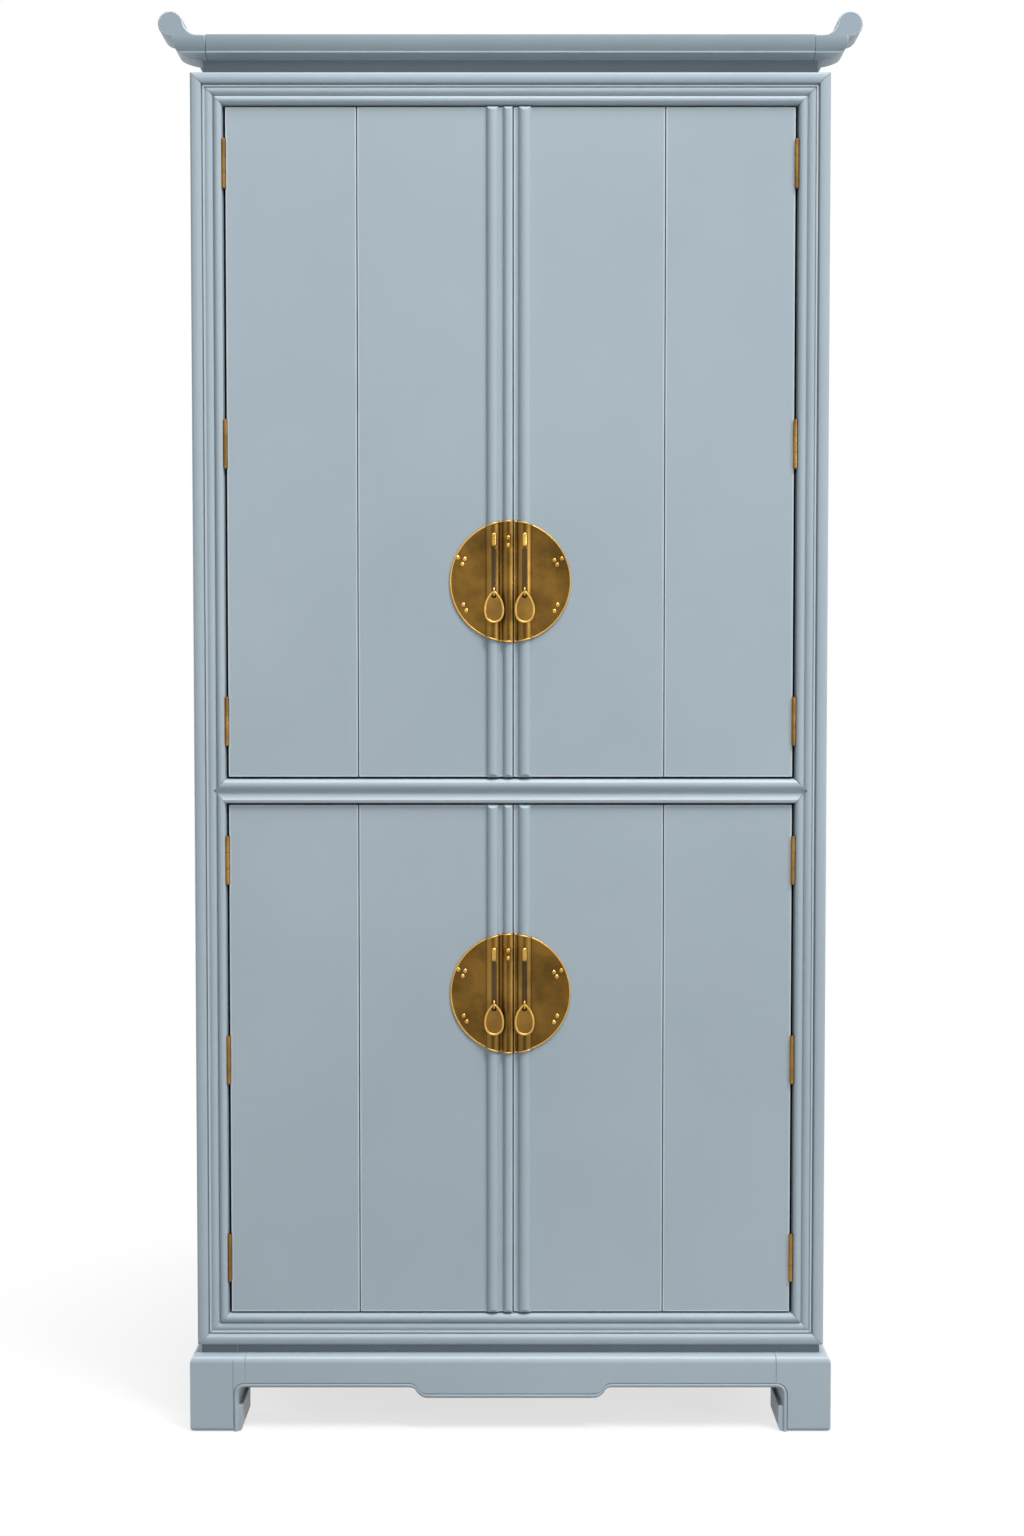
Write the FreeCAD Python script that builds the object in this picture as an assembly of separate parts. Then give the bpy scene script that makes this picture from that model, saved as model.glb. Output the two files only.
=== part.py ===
# Tall painted hutch: a two-tier cabinet with four plank doors, standing on a waisted base
# with hoof feet and finished by a top with upturned scroll flanges.
# Units are millimetres. +Z is up and the doors face -Y. The origin lies on the floor under
# the middle of the whole object. Depths named *_T are measured backward from the front
# crown of the face frame.
import FreeCAD
import Part

import math
import os

from FreeCAD import Vector

# ---------------------------------------------------------------- carcass
CARCASS_WIDTH = 940.0
CARCASS_DEPTH = 500.0
CARCASS_FLOOR_Z = 128.0
CARCASS_TOP_Z = 2016.0
FRAME_WIDTH = 47.5
FRAME_THICK = 38.0
MID_RAIL_Z = 961.5
MID_RAIL_HIGH = 37.0
TENON_REACH = 456.0
SIDE_THICK = 20.0
BACK_THICK = 12.0
BACK_BOARDS = 5
BOARD_THICK = 18.0
BOARD_BASES_Z = (150.0, 952.0, 1977.0)
SHELF_BASES_Z = (551.0, 1293.7, 1635.3)
SHELF_FRONT_T = 60.0
SHELF_HALF = 449.5
CLEAT = 20.0
STOP_HALF = 60.0
STOP_LAP = 14.0
STOP_FRONT_T = 28.5
STOP_BACK_T = 47.0
SEAM = 1.0
TONGUE = 6.0

# face-frame moulding, widths taken from the outer edge toward the opening
OUTER_BEAD = 17.0
FILLET_END = 21.0
SECOND_BEAD_END = 31.5
COVE_END = 34.5

# ---------------------------------------------------------------- doors
DOOR_FACE_T = 8.0
DOOR_THICK = 20.0
DOOR_EDGE = 419.5
LEFT_MEET_X = 3.25
RIGHT_MEET_X = 4.75
SEAM_LEFT_X = -226.0
SEAM_RIGHT_X = 228.0
DOOR_SPANS_Z = {"upper": (982.0, 1967.0), "lower": (177.0, 941.0)}
BATTEN_THICK = 18.0
BATTEN_HIGH = 70.0
BATTEN_INSET = 95.0
# each reed: centre X, width, height above the door face
LEFT_REEDS = ((-26.5, 17.5, 7.0), (-3.6, 13.7, 6.0))
RIGHT_REEDS = ((21.0, 18.5, 7.0),)
REED_BEVEL = 5.0

# ---------------------------------------------------------------- butt hinges
HINGE_X = 421.0
HINGE_T = 6.0
HINGE_HIGH = 70.0
HINGE_END_GAP = 83.0
BARREL_R = 3.1
NOTCH_R = 3.6
PIN_R = 1.25
PIN_HOLE_R = 1.30
PIN_CAP_R = 2.2
PIN_CAP_HIGH = 1.2
LEAF_THICK = 1.3
LEAF_REACH = 20.0
KNUCKLE_GAP = 0.3

# ---------------------------------------------------------------- plates and pulls
PLATE_R = 90.0
PLATE_THICK = 1.5
PLATE_GAP = 0.1
PLATE_EDGE_GAP = 0.3
PLATE_Z = {"upper": 1272.0, "lower": 659.0}
POST_X = {"left": -24.3, "right": 21.0}
POST_DZ = 60.6
POST_WIDE = 8.3
POST_HIGH = 21.0
POST_REACH_T = -16.1
POST_HOLE_R = 3.5
POST_HOLE_T = -9.2
POST_TANG_R = 2.0
POST_TANG_END_T = 20.0
TANG_GAP = 0.03
STRAP_WIDE = 9.0
STRAP_THICK = 1.0
STRAP_TOP_DZ = 48.6
STRAP_END_DZ = -27.0
SEAT_GAP = 0.05
EYE_R = 5.0
EYE_WIRE_R = 1.1
EYE_DZ = -16.6
EYE_STAND = 3.6
PULL_THICK = 3.0
PULL_TOP_DZ = -13.6
PULL_END_DZ = -61.7
PULL_BOTTOM_R = 15.2
PULL_TOP_R = 4.0
PULL_HOLE_R = 2.0
PULL_RIM = 2.8
PULL_SINK = 0.8
STUD_R = 3.35
STUD_HIGH = 2.2
STUD_NAIL_R = 0.9
STUD_NAIL_LONG = 9.0
LEFT_STUDS = (
    (-77.9, 35.3), (-67.6, 33.2), (-71.2, 25.6), (-69.8, -34.2), (-65.3, -42.8),
)
CENTRE_STUDS = ((-3.4, 64.4), (-3.4, 52.9))
RIGHT_STUDS = (
    (75.8, 33.9), (64.9, 31.3), (68.9, 24.7), (69.9, -34.2), (64.9, -43.8),
)

# ---------------------------------------------------------------- base
BASE_WIDTH = 960.0
BASE_FRONT_T = -10.0
BASE_TOP_Z = 115.0
BULLNOSE_R = 11.0
LEG_WIDE = 82.0
LEG_DEEP = 100.0
ANKLE_BACK = 10.0
TOE_BACK = 4.0
TOE_HIGH = 38.0
FOOT_R = 7.0
ARCH_Z = 67.0
ARCH_R = 10.0
BEAD_WIDE = 7.5
BEAD_SINK = 1.5
DROP_Z = 51.0
DROP_HALF = 125.0
DROP_RAMP = 27.0
APRON_THICK = 24.0
APRON_TONGUE = 12.0
WAIST_HALF = 465.0
WAIST_POST_X = 411.5
WAIST_FRONT_T = 5.0
WAIST_BACK_T = 495.0
WAIST_THICK = 30.0

# ---------------------------------------------------------------- top
NECK_TOP_Z = 2036.5
NECK_RECESS = 17.0
NECK_THICK = 20.0
TOP_Z = 2068.5
TOP_FRONT_T = -5.0
TOP_FACE_Z = 2043.0
TOP_FILLET = 1.2
TOP_RAIL_WIDE = 60.0
TOP_JOINT_X = 446.0
TOP_END_X = 462.0
PANEL_THICK = 20.0
PANEL_TONGUE = 8.0
KNOB_R = 18.5
KNOB_X = 496.5
KNOB_Z = 2083.5
FLANGE_SWEEP_X = 457.5
FLANGE_WALL_X = 493.5
FLANGE_BELLY_R = 17.0
FLANGE_BELLY_Z = 2059.0
FLANGE_SLOPE_X = 483.4
FLANGE_SLOPE_Z = 2043.5
FLANGE_FOOT_X = 450.5

# ---------------------------------------------------------------- derived
HALF = CARCASS_WIDTH / 2
OPEN_HALF = HALF - FRAME_WIDTH
OPEN_TOP_Z = CARCASS_TOP_Z - FRAME_WIDTH
OPEN_FLOOR_Z = CARCASS_FLOOR_Z + FRAME_WIDTH
MID_HALF = MID_RAIL_HIGH / 2
BASE_HALF = BASE_WIDTH / 2
BACK_T = CARCASS_DEPTH
BOARD_BACK_T = CARCASS_DEPTH - BACK_THICK
MIDDLE_T = (CARCASS_DEPTH + POST_REACH_T) / 2
ANGLE = 45.0


def y_of(depth):
    """Turns a depth behind the face-frame crown into a Y coordinate."""
    return depth - MIDDLE_T


def box(x, depth, z):
    """A block from pairs of limits."""
    corner = Vector(min(x), y_of(min(depth)), min(z))
    return Part.makeBox(abs(x[1] - x[0]), abs(depth[1] - depth[0]), abs(z[1] - z[0]), corner)


def face(path, place):
    """A flat face round a path of corners (a, b) and arcs ((mid a, mid b), (end a, end b))."""
    edges = []
    start = path[0]
    here = start
    for step in list(path[1:]) + [start]:
        if isinstance(step[0], tuple):
            middle, end = step
            edges.append(Part.Arc(place(*here), place(*middle), place(*end)).toShape())
            here = end
        else:
            if math.dist(here, step) > 1e-6:
                edges.append(Part.LineSegment(place(*here), place(*step)).toShape())
            here = step
    return Part.Face(Part.Wire(edges))


def prism_xz(path, depth):
    """A front-view path of (x, z) carried through a range of depth."""
    flat = face(path, lambda a, b: Vector(a, y_of(depth[0]), b))
    return flat.extrude(Vector(0, depth[1] - depth[0], 0))


def prism_xt(path, z):
    """A plan path of (x, depth) carried through a range of height."""
    flat = face(path, lambda a, b: Vector(a, y_of(b), z[0]))
    return flat.extrude(Vector(0, 0, z[1] - z[0]))


def prism_tz(path, x):
    """A side-view path of (depth, z) carried through a range of X."""
    flat = face(path, lambda a, b: Vector(x[0], y_of(a), b))
    return flat.extrude(Vector(x[1] - x[0], 0, 0))


def rod_z(x, depth, radius, z):
    """An upright cylinder."""
    return Part.makeCylinder(radius, z[1] - z[0], Vector(x, y_of(depth), z[0]), Vector(0, 0, 1))


def rod_y(x, z, radius, depth):
    """A cylinder running front to back."""
    low = Vector(x, y_of(depth[0]), z)
    return Part.makeCylinder(radius, depth[1] - depth[0], low, Vector(0, 1, 0))


def rod_x(depth, z, radius, x):
    """A cylinder running left to right."""
    low = Vector(x[0], y_of(depth), z)
    return Part.makeCylinder(radius, x[1] - x[0], low, Vector(1, 0, 0))


def flip(shape):
    """The same piece on the other side of the cabinet."""
    return shape.mirror(Vector(0, 0, 0), Vector(1, 0, 0))


def on_arc(centre, radius, degrees):
    """A point on a circle."""
    turn = math.radians(degrees)
    return (centre[0] + radius * math.cos(turn), centre[1] + radius * math.sin(turn))


def bearing(centre, point):
    """The direction in degrees from a centre to a point."""
    return math.degrees(math.atan2(point[1] - centre[1], point[0] - centre[0]))


def write(name, solids):
    """Writes one node."""
    shape = solids[0] if len(solids) == 1 else Part.makeCompound(solids)
    shape.exportStep(f"parts/{name}.step")
    volume = sum(solid.Volume for solid in solids)
    print(f"{name}: {len(solids)} solids, {volume / 1000:.1f} cm3")


# ================================================================ face frame
def frame_section(place_u):
    """The moulded frame section, from (distance from the outer edge, depth)."""
    points = [
        (0.0, FRAME_THICK), (0.0, 6.0),
        ((OUTER_BEAD / 2, 0.0), (OUTER_BEAD, 6.3)),
        (OUTER_BEAD + 0.4, 7.5), (OUTER_BEAD + 1.2, 7.5),
        (OUTER_BEAD + 1.4, 5.0), (OUTER_BEAD + 2.8, 5.0),
        (OUTER_BEAD + 3.0, 7.5), (FILLET_END - 0.2, 7.5), (FILLET_END, 6.0),
        (((FILLET_END + SECOND_BEAD_END) / 2, 2.5), (SECOND_BEAD_END, 6.6)),
        (((SECOND_BEAD_END + COVE_END) / 2, 7.4), (COVE_END, 7.0)),
        (((COVE_END + FRAME_WIDTH) / 2, 3.2), (FRAME_WIDTH, 8.0)),
        (FRAME_WIDTH, FRAME_THICK),
    ]
    placed = []
    for step in points:
        if isinstance(step[0], tuple):
            placed.append(tuple((place_u(u), t) for u, t in step))
        else:
            placed.append((place_u(step[0]), step[1]))
    return placed


def swap(path):
    """Exchanges the two coordinates of a path."""
    swapped = []
    for step in path:
        if isinstance(step[0], tuple):
            swapped.append(tuple((b, a) for a, b in step))
        else:
            swapped.append((step[1], step[0]))
    return swapped


FULL_DEPTH = (-1.0, FRAME_THICK + 1.0)
TENON_T = (18.0, 28.0)
MID_KEY = [
    (-OPEN_HALF, MID_RAIL_Z - MID_HALF), (OPEN_HALF, MID_RAIL_Z - MID_HALF),
    (OPEN_HALF + MID_HALF, MID_RAIL_Z), (OPEN_HALF, MID_RAIL_Z + MID_HALF),
    (-OPEN_HALF, MID_RAIL_Z + MID_HALF), (-OPEN_HALF - MID_HALF, MID_RAIL_Z),
]


def hinge_heights():
    """The middle heights of the three hinges on each door."""
    heights = []
    for low, high in DOOR_SPANS_Z.values():
        heights += [low + HINGE_END_GAP, (low + high) / 2, high - HINGE_END_GAP]
    return heights


def barrel_notches(x):
    """The clearance round every hinge barrel on one side."""
    reach = HINGE_HIGH / 2 + PIN_CAP_HIGH + 0.8
    return [rod_z(x, HINGE_T, NOTCH_R, (z - reach, z + reach)) for z in hinge_heights()]


def tenons():
    """Stub tenons at both ends of the three rails."""
    blocks = {}
    for name, low, high in (
        ("top", OPEN_TOP_Z + 12, CARCASS_TOP_Z - 14),
        ("middle", MID_RAIL_Z - 9, MID_RAIL_Z + 9),
        ("bottom", CARCASS_FLOOR_Z + 14, OPEN_FLOOR_Z - 12),
    ):
        blocks[name] = box((-TENON_REACH, TENON_REACH), TENON_T, (low, high))
    return blocks


def face_frame():
    """Two stiles and three rails, mitred at the corners and keyed in the middle."""
    tenon = tenons()
    corner_z = (CARCASS_FLOOR_Z, CARCASS_TOP_Z)
    left = prism_xt(frame_section(lambda u: u - HALF), corner_z)
    left = left.common(prism_xz([
        (-HALF, CARCASS_FLOOR_Z), (-OPEN_HALF, OPEN_FLOOR_Z),
        (-OPEN_HALF, OPEN_TOP_Z), (-HALF, CARCASS_TOP_Z),
    ], FULL_DEPTH))
    left = left.cut(prism_xz(MID_KEY, FULL_DEPTH))
    left = left.cut(list(tenon.values()))
    left = left.cut(barrel_notches(-HINGE_X)).removeSplitter()

    reach_x = (-HALF, HALF)
    top = prism_tz(swap(frame_section(lambda u: CARCASS_TOP_Z - u)), reach_x)
    top = top.common(prism_xz([
        (-HALF, CARCASS_TOP_Z), (-OPEN_HALF, OPEN_TOP_Z),
        (OPEN_HALF, OPEN_TOP_Z), (HALF, CARCASS_TOP_Z),
    ], FULL_DEPTH))
    bottom = prism_tz(swap(frame_section(lambda u: CARCASS_FLOOR_Z + u)), reach_x)
    bottom = bottom.common(prism_xz([
        (-HALF, CARCASS_FLOOR_Z), (-OPEN_HALF, OPEN_FLOOR_Z),
        (OPEN_HALF, OPEN_FLOOR_Z), (HALF, CARCASS_FLOOR_Z),
    ], FULL_DEPTH))

    bead = FRAME_WIDTH - COVE_END
    inner = MID_HALF - bead
    z = MID_RAIL_Z
    middle = prism_tz([
        (FRAME_THICK, z - MID_HALF), (8.0, z - MID_HALF),
        ((3.2, z - MID_HALF + bead / 2), (7.0, z - inner)),
        ((8.4, z), (7.0, z + inner)),
        ((3.2, z + MID_HALF - bead / 2), (8.0, z + MID_HALF)),
        (FRAME_THICK, z + MID_HALF),
    ], reach_x).common(prism_xz(MID_KEY, FULL_DEPTH))

    write("stile_left", [left])
    write("stile_right", [flip(left)])
    write("rail_top", [top.fuse(tenon["top"]).removeSplitter()])
    write("rail_middle", [middle.fuse(tenon["middle"]).removeSplitter()])
    write("rail_bottom", [bottom.fuse(tenon["bottom"]).removeSplitter()])


# ================================================================ carcass
def joined_boards(edges, front, back, tongue, v_front):
    """Plan paths of boards side by side along one axis, tongued together, with a V at each
    seam on the shown face."""
    thick = back - front
    middle = (front + back) / 2
    slim = thick / 6
    paths = []
    last = len(edges) - 2
    for n in range(len(edges) - 1):
        low, high = edges[n], edges[n + 1]
        path = []
        shown, hidden = (front, back) if v_front else (back, front)
        cut = SEAM if v_front else -SEAM
        path.append((low, hidden))
        if n > 0:
            path += [(low, middle + slim * (1 if v_front else -1)),
                     (low - tongue, middle + slim * (1 if v_front else -1)),
                     (low - tongue, middle - slim * (1 if v_front else -1)),
                     (low, middle - slim * (1 if v_front else -1)),
                     (low, shown + cut), (low + SEAM, shown)]
        else:
            path.append((low, shown))
        if n < last:
            path += [(high - SEAM, shown), (high, shown + cut),
                     (high, middle - slim * (1 if v_front else -1)),
                     (high - tongue, middle - slim * (1 if v_front else -1)),
                     (high - tongue, middle + slim * (1 if v_front else -1)),
                     (high, middle + slim * (1 if v_front else -1)), (high, hidden)]
        else:
            path += [(high, shown), (high, hidden)]
        paths.append(path)
    return paths


def carcass():
    """Sides, back, boards, shelves, cleats and door stops."""
    full_z = (CARCASS_FLOOR_Z, CARCASS_TOP_Z)
    inner_x = HALF - SIDE_THICK
    seam_t = (FRAME_THICK + BOARD_BACK_T) / 2
    left = []
    for path in joined_boards((FRAME_THICK, seam_t, BOARD_BACK_T), -HALF, -inner_x, TONGUE, True):
        left.append(prism_xt(swap(path), full_z))
    write("side_planks_left", left)
    write("side_planks_right", [flip(plank) for plank in left])

    step = CARCASS_WIDTH / BACK_BOARDS
    edges = [-HALF + step * n for n in range(BACK_BOARDS + 1)]
    boards = joined_boards(edges, BOARD_BACK_T, BACK_T, TONGUE, False)
    write("back_boards", [prism_xt(path, full_z) for path in boards])

    deep = (FRAME_THICK, BOARD_BACK_T)
    write("carcass_boards", [
        box((-inner_x, inner_x), deep, (z, z + BOARD_THICK)) for z in BOARD_BASES_Z
    ])
    write("shelves", [
        box((-SHELF_HALF, SHELF_HALF), (SHELF_FRONT_T, BOARD_BACK_T), (z, z + BOARD_THICK))
        for z in SHELF_BASES_Z
    ])
    cleats = []
    for z in SHELF_BASES_Z:
        cleat = box((-inner_x, -inner_x + CLEAT), (SHELF_FRONT_T + 10, BOARD_BACK_T - 8),
                    (z - CLEAT, z))
        cleats += [cleat, flip(cleat)]
    write("shelf_cleats", cleats)

    stops = []
    wide = (-STOP_HALF, STOP_HALF)
    edges = (
        (OPEN_FLOOR_Z, 1, BOARD_BASES_Z[0] + BOARD_THICK),
        (MID_RAIL_Z - MID_HALF, -1, BOARD_BASES_Z[1]),
        (MID_RAIL_Z + MID_HALF, 1, BOARD_BASES_Z[1] + BOARD_THICK),
        (OPEN_TOP_Z, -1, BOARD_BASES_Z[2]),
    )
    for edge, way, seat in edges:
        lip = box(wide, (STOP_FRONT_T, STOP_BACK_T), (edge, edge + way * STOP_LAP))
        foot = box(wide, (FRAME_THICK, STOP_BACK_T), (seat, edge + way))
        stops.append(lip.fuse(foot).removeSplitter())
    write("door_stops", stops)


# ================================================================ base
def leg_outline(width, rounded):
    """A leg seen square on: distance inward from its outer side, and height."""
    ankle = width - ANKLE_BACK
    toe = width - TOE_BACK
    if rounded:
        outer_low = [(0.0, FOOT_R), (on_arc((FOOT_R, FOOT_R), FOOT_R, 225), (FOOT_R, 0.0))]
        outer_high = [(BULLNOSE_R, BASE_TOP_Z),
                      (on_arc((BULLNOSE_R, BASE_TOP_Z - BULLNOSE_R), BULLNOSE_R, 135),
                       (0.0, BASE_TOP_Z - BULLNOSE_R))]
    else:
        outer_low = [(0.0, 0.0)]
        outer_high = [(0.0, BASE_TOP_Z)]
    return outer_low + [
        (toe - FOOT_R, 0.0), (on_arc((toe - FOOT_R, FOOT_R), FOOT_R, 315), (toe, FOOT_R)),
        (toe, TOE_HIGH - 2), (on_arc((toe - 2, TOE_HIGH - 2), 2, 45), (toe - 2, TOE_HIGH)),
        (ankle, TOE_HIGH), (ankle, ARCH_Z - ARCH_R),
        (on_arc((width, ARCH_Z - ARCH_R), ARCH_R, 135), (width, ARCH_Z)),
        (width, BASE_TOP_Z),
    ] + outer_high


def bead_cutter(width):
    """The area below and inside the bead line of a leg."""
    line = width - ANKLE_BACK - BEAD_WIDE
    radius = ARCH_R + BEAD_WIDE
    return [
        (line, -1.0), (line, ARCH_Z - ARCH_R),
        (on_arc((width, ARCH_Z - ARCH_R), radius, 135), (width, ARCH_Z + BEAD_WIDE)),
        (width + 2, ARCH_Z + BEAD_WIDE), (width + 2, -1.0),
    ]


def shift(path, move):
    """Moves every point of a path."""
    moved = []
    for step in path:
        if isinstance(step[0], tuple):
            moved.append(tuple(move(a, b) for a, b in step))
        else:
            moved.append(move(*step))
    return moved


def drop_edge(rise):
    """The lower edge of the front apron from left to right, raised by some height."""
    low = DROP_Z + rise
    high = ARCH_Z + rise
    half = DROP_RAMP / 2
    radius = (half ** 2 + ((high - low) / 2) ** 2) / (high - low)
    turn = math.degrees(math.asin(half / radius)) / 2
    outer = DROP_HALF + DROP_RAMP
    knee = (DROP_HALF + half, (low + high) / 2)
    upper = on_arc((outer, high - radius), radius, 90 + turn)
    lower = on_arc((DROP_HALF, low + radius), radius, 270 + turn)

    def left(point):
        return (-point[0], point[1])

    end = BASE_HALF - LEG_WIDE
    return [
        (-end, high), (-outer, high), (left(upper), left(knee)),
        (left(lower), (-DROP_HALF, low)), (DROP_HALF, low),
        (lower, knee), (upper, (outer, high)), (end, high),
    ]


def base():
    """Four legs, four aprons and the waist."""
    end = BASE_HALF - LEG_WIDE
    front_end = BASE_FRONT_T + LEG_DEEP
    rear_end = BACK_T - LEG_DEEP
    tongue_z = (82.0, 106.0)
    tongues = {}
    low, high = BASE_FRONT_T + 8, BASE_FRONT_T + 18
    tongues["front"] = box((-end - APRON_TONGUE, end + APRON_TONGUE), (low, high), tongue_z)
    low, high = BACK_T - 17, BACK_T - 7
    tongues["rear"] = box((-end - APRON_TONGUE, end + APRON_TONGUE), (low, high), tongue_z)
    side_x = (-BASE_HALF + 8, -BASE_HALF + 18)
    tongues["left"] = box(side_x, (front_end - APRON_TONGUE, rear_end + APRON_TONGUE), tongue_z)

    def from_left(a, b):
        return (a - BASE_HALF, b)

    def from_front(a, b):
        return (a + BASE_FRONT_T, b)

    def from_back(a, b):
        return (BACK_T - a, b)

    leg_x = (-BASE_HALF - 1, -end)
    wide = shift(leg_outline(LEG_WIDE, True), from_left)
    wide_bead = shift(bead_cutter(LEG_WIDE), from_left)
    side_bead = BASE_HALF + 1
    front = prism_xz(wide, (BASE_FRONT_T, front_end))
    front = front.common(prism_tz(shift(leg_outline(LEG_DEEP, True), from_front), leg_x))
    front = front.cut(prism_xz(wide_bead, (BASE_FRONT_T - 1, BASE_FRONT_T + BEAD_SINK)))
    front = front.cut(prism_tz(shift(bead_cutter(LEG_DEEP), from_front),
                               (-side_bead, -BASE_HALF + BEAD_SINK)))
    front_post = box((-WAIST_HALF, -WAIST_POST_X), (WAIST_FRONT_T, WAIST_FRONT_T + 53.5),
                     (BASE_TOP_Z, CARCASS_FLOOR_Z))
    front = front.fuse(front_post).cut([tongues["front"], tongues["left"]]).removeSplitter()

    rear = prism_xz(wide, (rear_end, BACK_T))
    rear = rear.common(prism_tz(shift(leg_outline(LEG_DEEP, False), from_back), leg_x))
    rear = rear.cut(prism_tz(shift(bead_cutter(LEG_DEEP), from_back),
                             (-side_bead, -BASE_HALF + BEAD_SINK)))
    rear_post = box((-WAIST_HALF, -WAIST_POST_X), (WAIST_BACK_T - 53.5, WAIST_BACK_T),
                    (BASE_TOP_Z, CARCASS_FLOOR_Z))
    rear = rear.fuse(rear_post).cut([tongues["rear"], tongues["left"]]).removeSplitter()

    for name, leg in (("front", front), ("rear", rear)):
        write(f"leg_{name}_left", [leg])
        write(f"leg_{name}_right", [flip(leg)])

    nose = [
        (BASE_FRONT_T, BASE_TOP_Z - BULLNOSE_R),
        (on_arc((BASE_FRONT_T + BULLNOSE_R, BASE_TOP_Z - BULLNOSE_R), BULLNOSE_R, 135),
         (BASE_FRONT_T + BULLNOSE_R, BASE_TOP_Z)),
        (BASE_FRONT_T + APRON_THICK, BASE_TOP_Z), (BASE_FRONT_T + APRON_THICK, 0.0),
        (BASE_FRONT_T, 0.0),
    ]
    apron = prism_xz(drop_edge(0.0) + [(end, BASE_TOP_Z), (-end, BASE_TOP_Z)],
                     (BASE_FRONT_T, BASE_FRONT_T + APRON_THICK))
    apron = apron.common(prism_tz(nose, (-end, end)))
    below = drop_edge(BEAD_WIDE) + [(end, 0.0), (-end, 0.0)]
    apron = apron.cut(prism_xz(below, (BASE_FRONT_T - 1, BASE_FRONT_T + BEAD_SINK)))
    write("apron_front", [apron.fuse(tongues["front"]).removeSplitter()])

    plain = box((-end, end), (BACK_T - APRON_THICK, BACK_T), (ARCH_Z, BASE_TOP_Z))
    write("apron_rear", [plain.fuse(tongues["rear"]).removeSplitter()])

    outer = -BASE_HALF
    side = prism_xz([
        (outer + BEAD_SINK, ARCH_Z), (outer + APRON_THICK, ARCH_Z),
        (outer + APRON_THICK, BASE_TOP_Z), (outer + BULLNOSE_R, BASE_TOP_Z),
        (on_arc((outer + BULLNOSE_R, BASE_TOP_Z - BULLNOSE_R), BULLNOSE_R, 135),
         (outer, BASE_TOP_Z - BULLNOSE_R)),
        (outer, ARCH_Z + BEAD_WIDE), (outer + BEAD_SINK, ARCH_Z + BEAD_WIDE),
    ], (front_end, rear_end)).fuse(tongues["left"]).removeSplitter()
    write("apron_left", [side])
    write("apron_right", [flip(side)])

    waist_z = (BASE_TOP_Z, CARCASS_FLOOR_Z)
    across = (-WAIST_POST_X, WAIST_POST_X)
    beside = box((-WAIST_HALF, -WAIST_HALF + WAIST_THICK),
                 (WAIST_FRONT_T + 53.5, WAIST_BACK_T - 53.5), waist_z)
    write("waist_rails", [
        box(across, (WAIST_FRONT_T, WAIST_FRONT_T + WAIST_THICK), waist_z),
        box(across, (WAIST_BACK_T - WAIST_THICK, WAIST_BACK_T), waist_z),
        beside, flip(beside),
    ])


# ================================================================ top
def top_edge(height, inner_t):
    """The front edge of the top in side view, up to some height and back to some depth."""
    low = TOP_FACE_Z - TOP_FILLET
    step = TOP_FRONT_T + TOP_FILLET
    return [
        (TOP_FRONT_T, height), (TOP_FRONT_T, TOP_FACE_Z), (step, TOP_FACE_Z), (step, low),
        (((step + NECK_RECESS) / 2, (low + NECK_TOP_Z) / 2 + 1.2), (NECK_RECESS, NECK_TOP_Z)),
        (inner_t, NECK_TOP_Z), (inner_t, height),
    ]


def flange_outline():
    """The scroll flange in front view: distance from the middle, and height."""
    knob = (KNOB_X, KNOB_Z)
    belly = (FLANGE_WALL_X - FLANGE_BELLY_R, FLANGE_BELLY_Z)
    notch_z = KNOB_Z - math.sqrt(KNOB_R ** 2 - (KNOB_X - FLANGE_WALL_X) ** 2)
    notch = (FLANGE_WALL_X, notch_z)
    dx = KNOB_X - FLANGE_SWEEP_X
    dz = KNOB_Z - TOP_Z
    sweep_r = (dx ** 2 + dz ** 2 - KNOB_R ** 2) / (2 * (KNOB_R + dz))
    sweep = (FLANGE_SWEEP_X, TOP_Z + sweep_r)
    meet = on_arc(knob, KNOB_R, bearing(knob, sweep))
    sweep_middle = on_arc(sweep, sweep_r, (bearing(sweep, meet) - 90) / 2)
    slope = bearing(belly, (FLANGE_SLOPE_X, FLANGE_SLOPE_Z))
    slope_end = on_arc(belly, FLANGE_BELLY_R, slope)
    # the flat underside runs into the slope along one gentle arc
    run = slope_end[0] - FLANGE_FOOT_X
    rise = slope_end[1] - NECK_TOP_Z
    foot_r = (run ** 2 + rise ** 2) / (2 * rise)
    foot = (FLANGE_FOOT_X, NECK_TOP_Z + foot_r)
    foot_middle = on_arc(foot, foot_r, (-90 + bearing(foot, slope_end)) / 2)
    return [
        (TOP_JOINT_X, NECK_TOP_Z), (FLANGE_FOOT_X, NECK_TOP_Z),
        (foot_middle, slope_end),
        (on_arc(belly, FLANGE_BELLY_R, slope / 2), (FLANGE_WALL_X, FLANGE_BELLY_Z)),
        notch, ((KNOB_X + KNOB_R, KNOB_Z), (KNOB_X, KNOB_Z + KNOB_R)),
        (on_arc(knob, KNOB_R, (90 + bearing(knob, meet)) / 2), meet),
        (sweep_middle, (FLANGE_SWEEP_X, TOP_Z)),
        (TOP_JOINT_X, TOP_Z),
    ]


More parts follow.
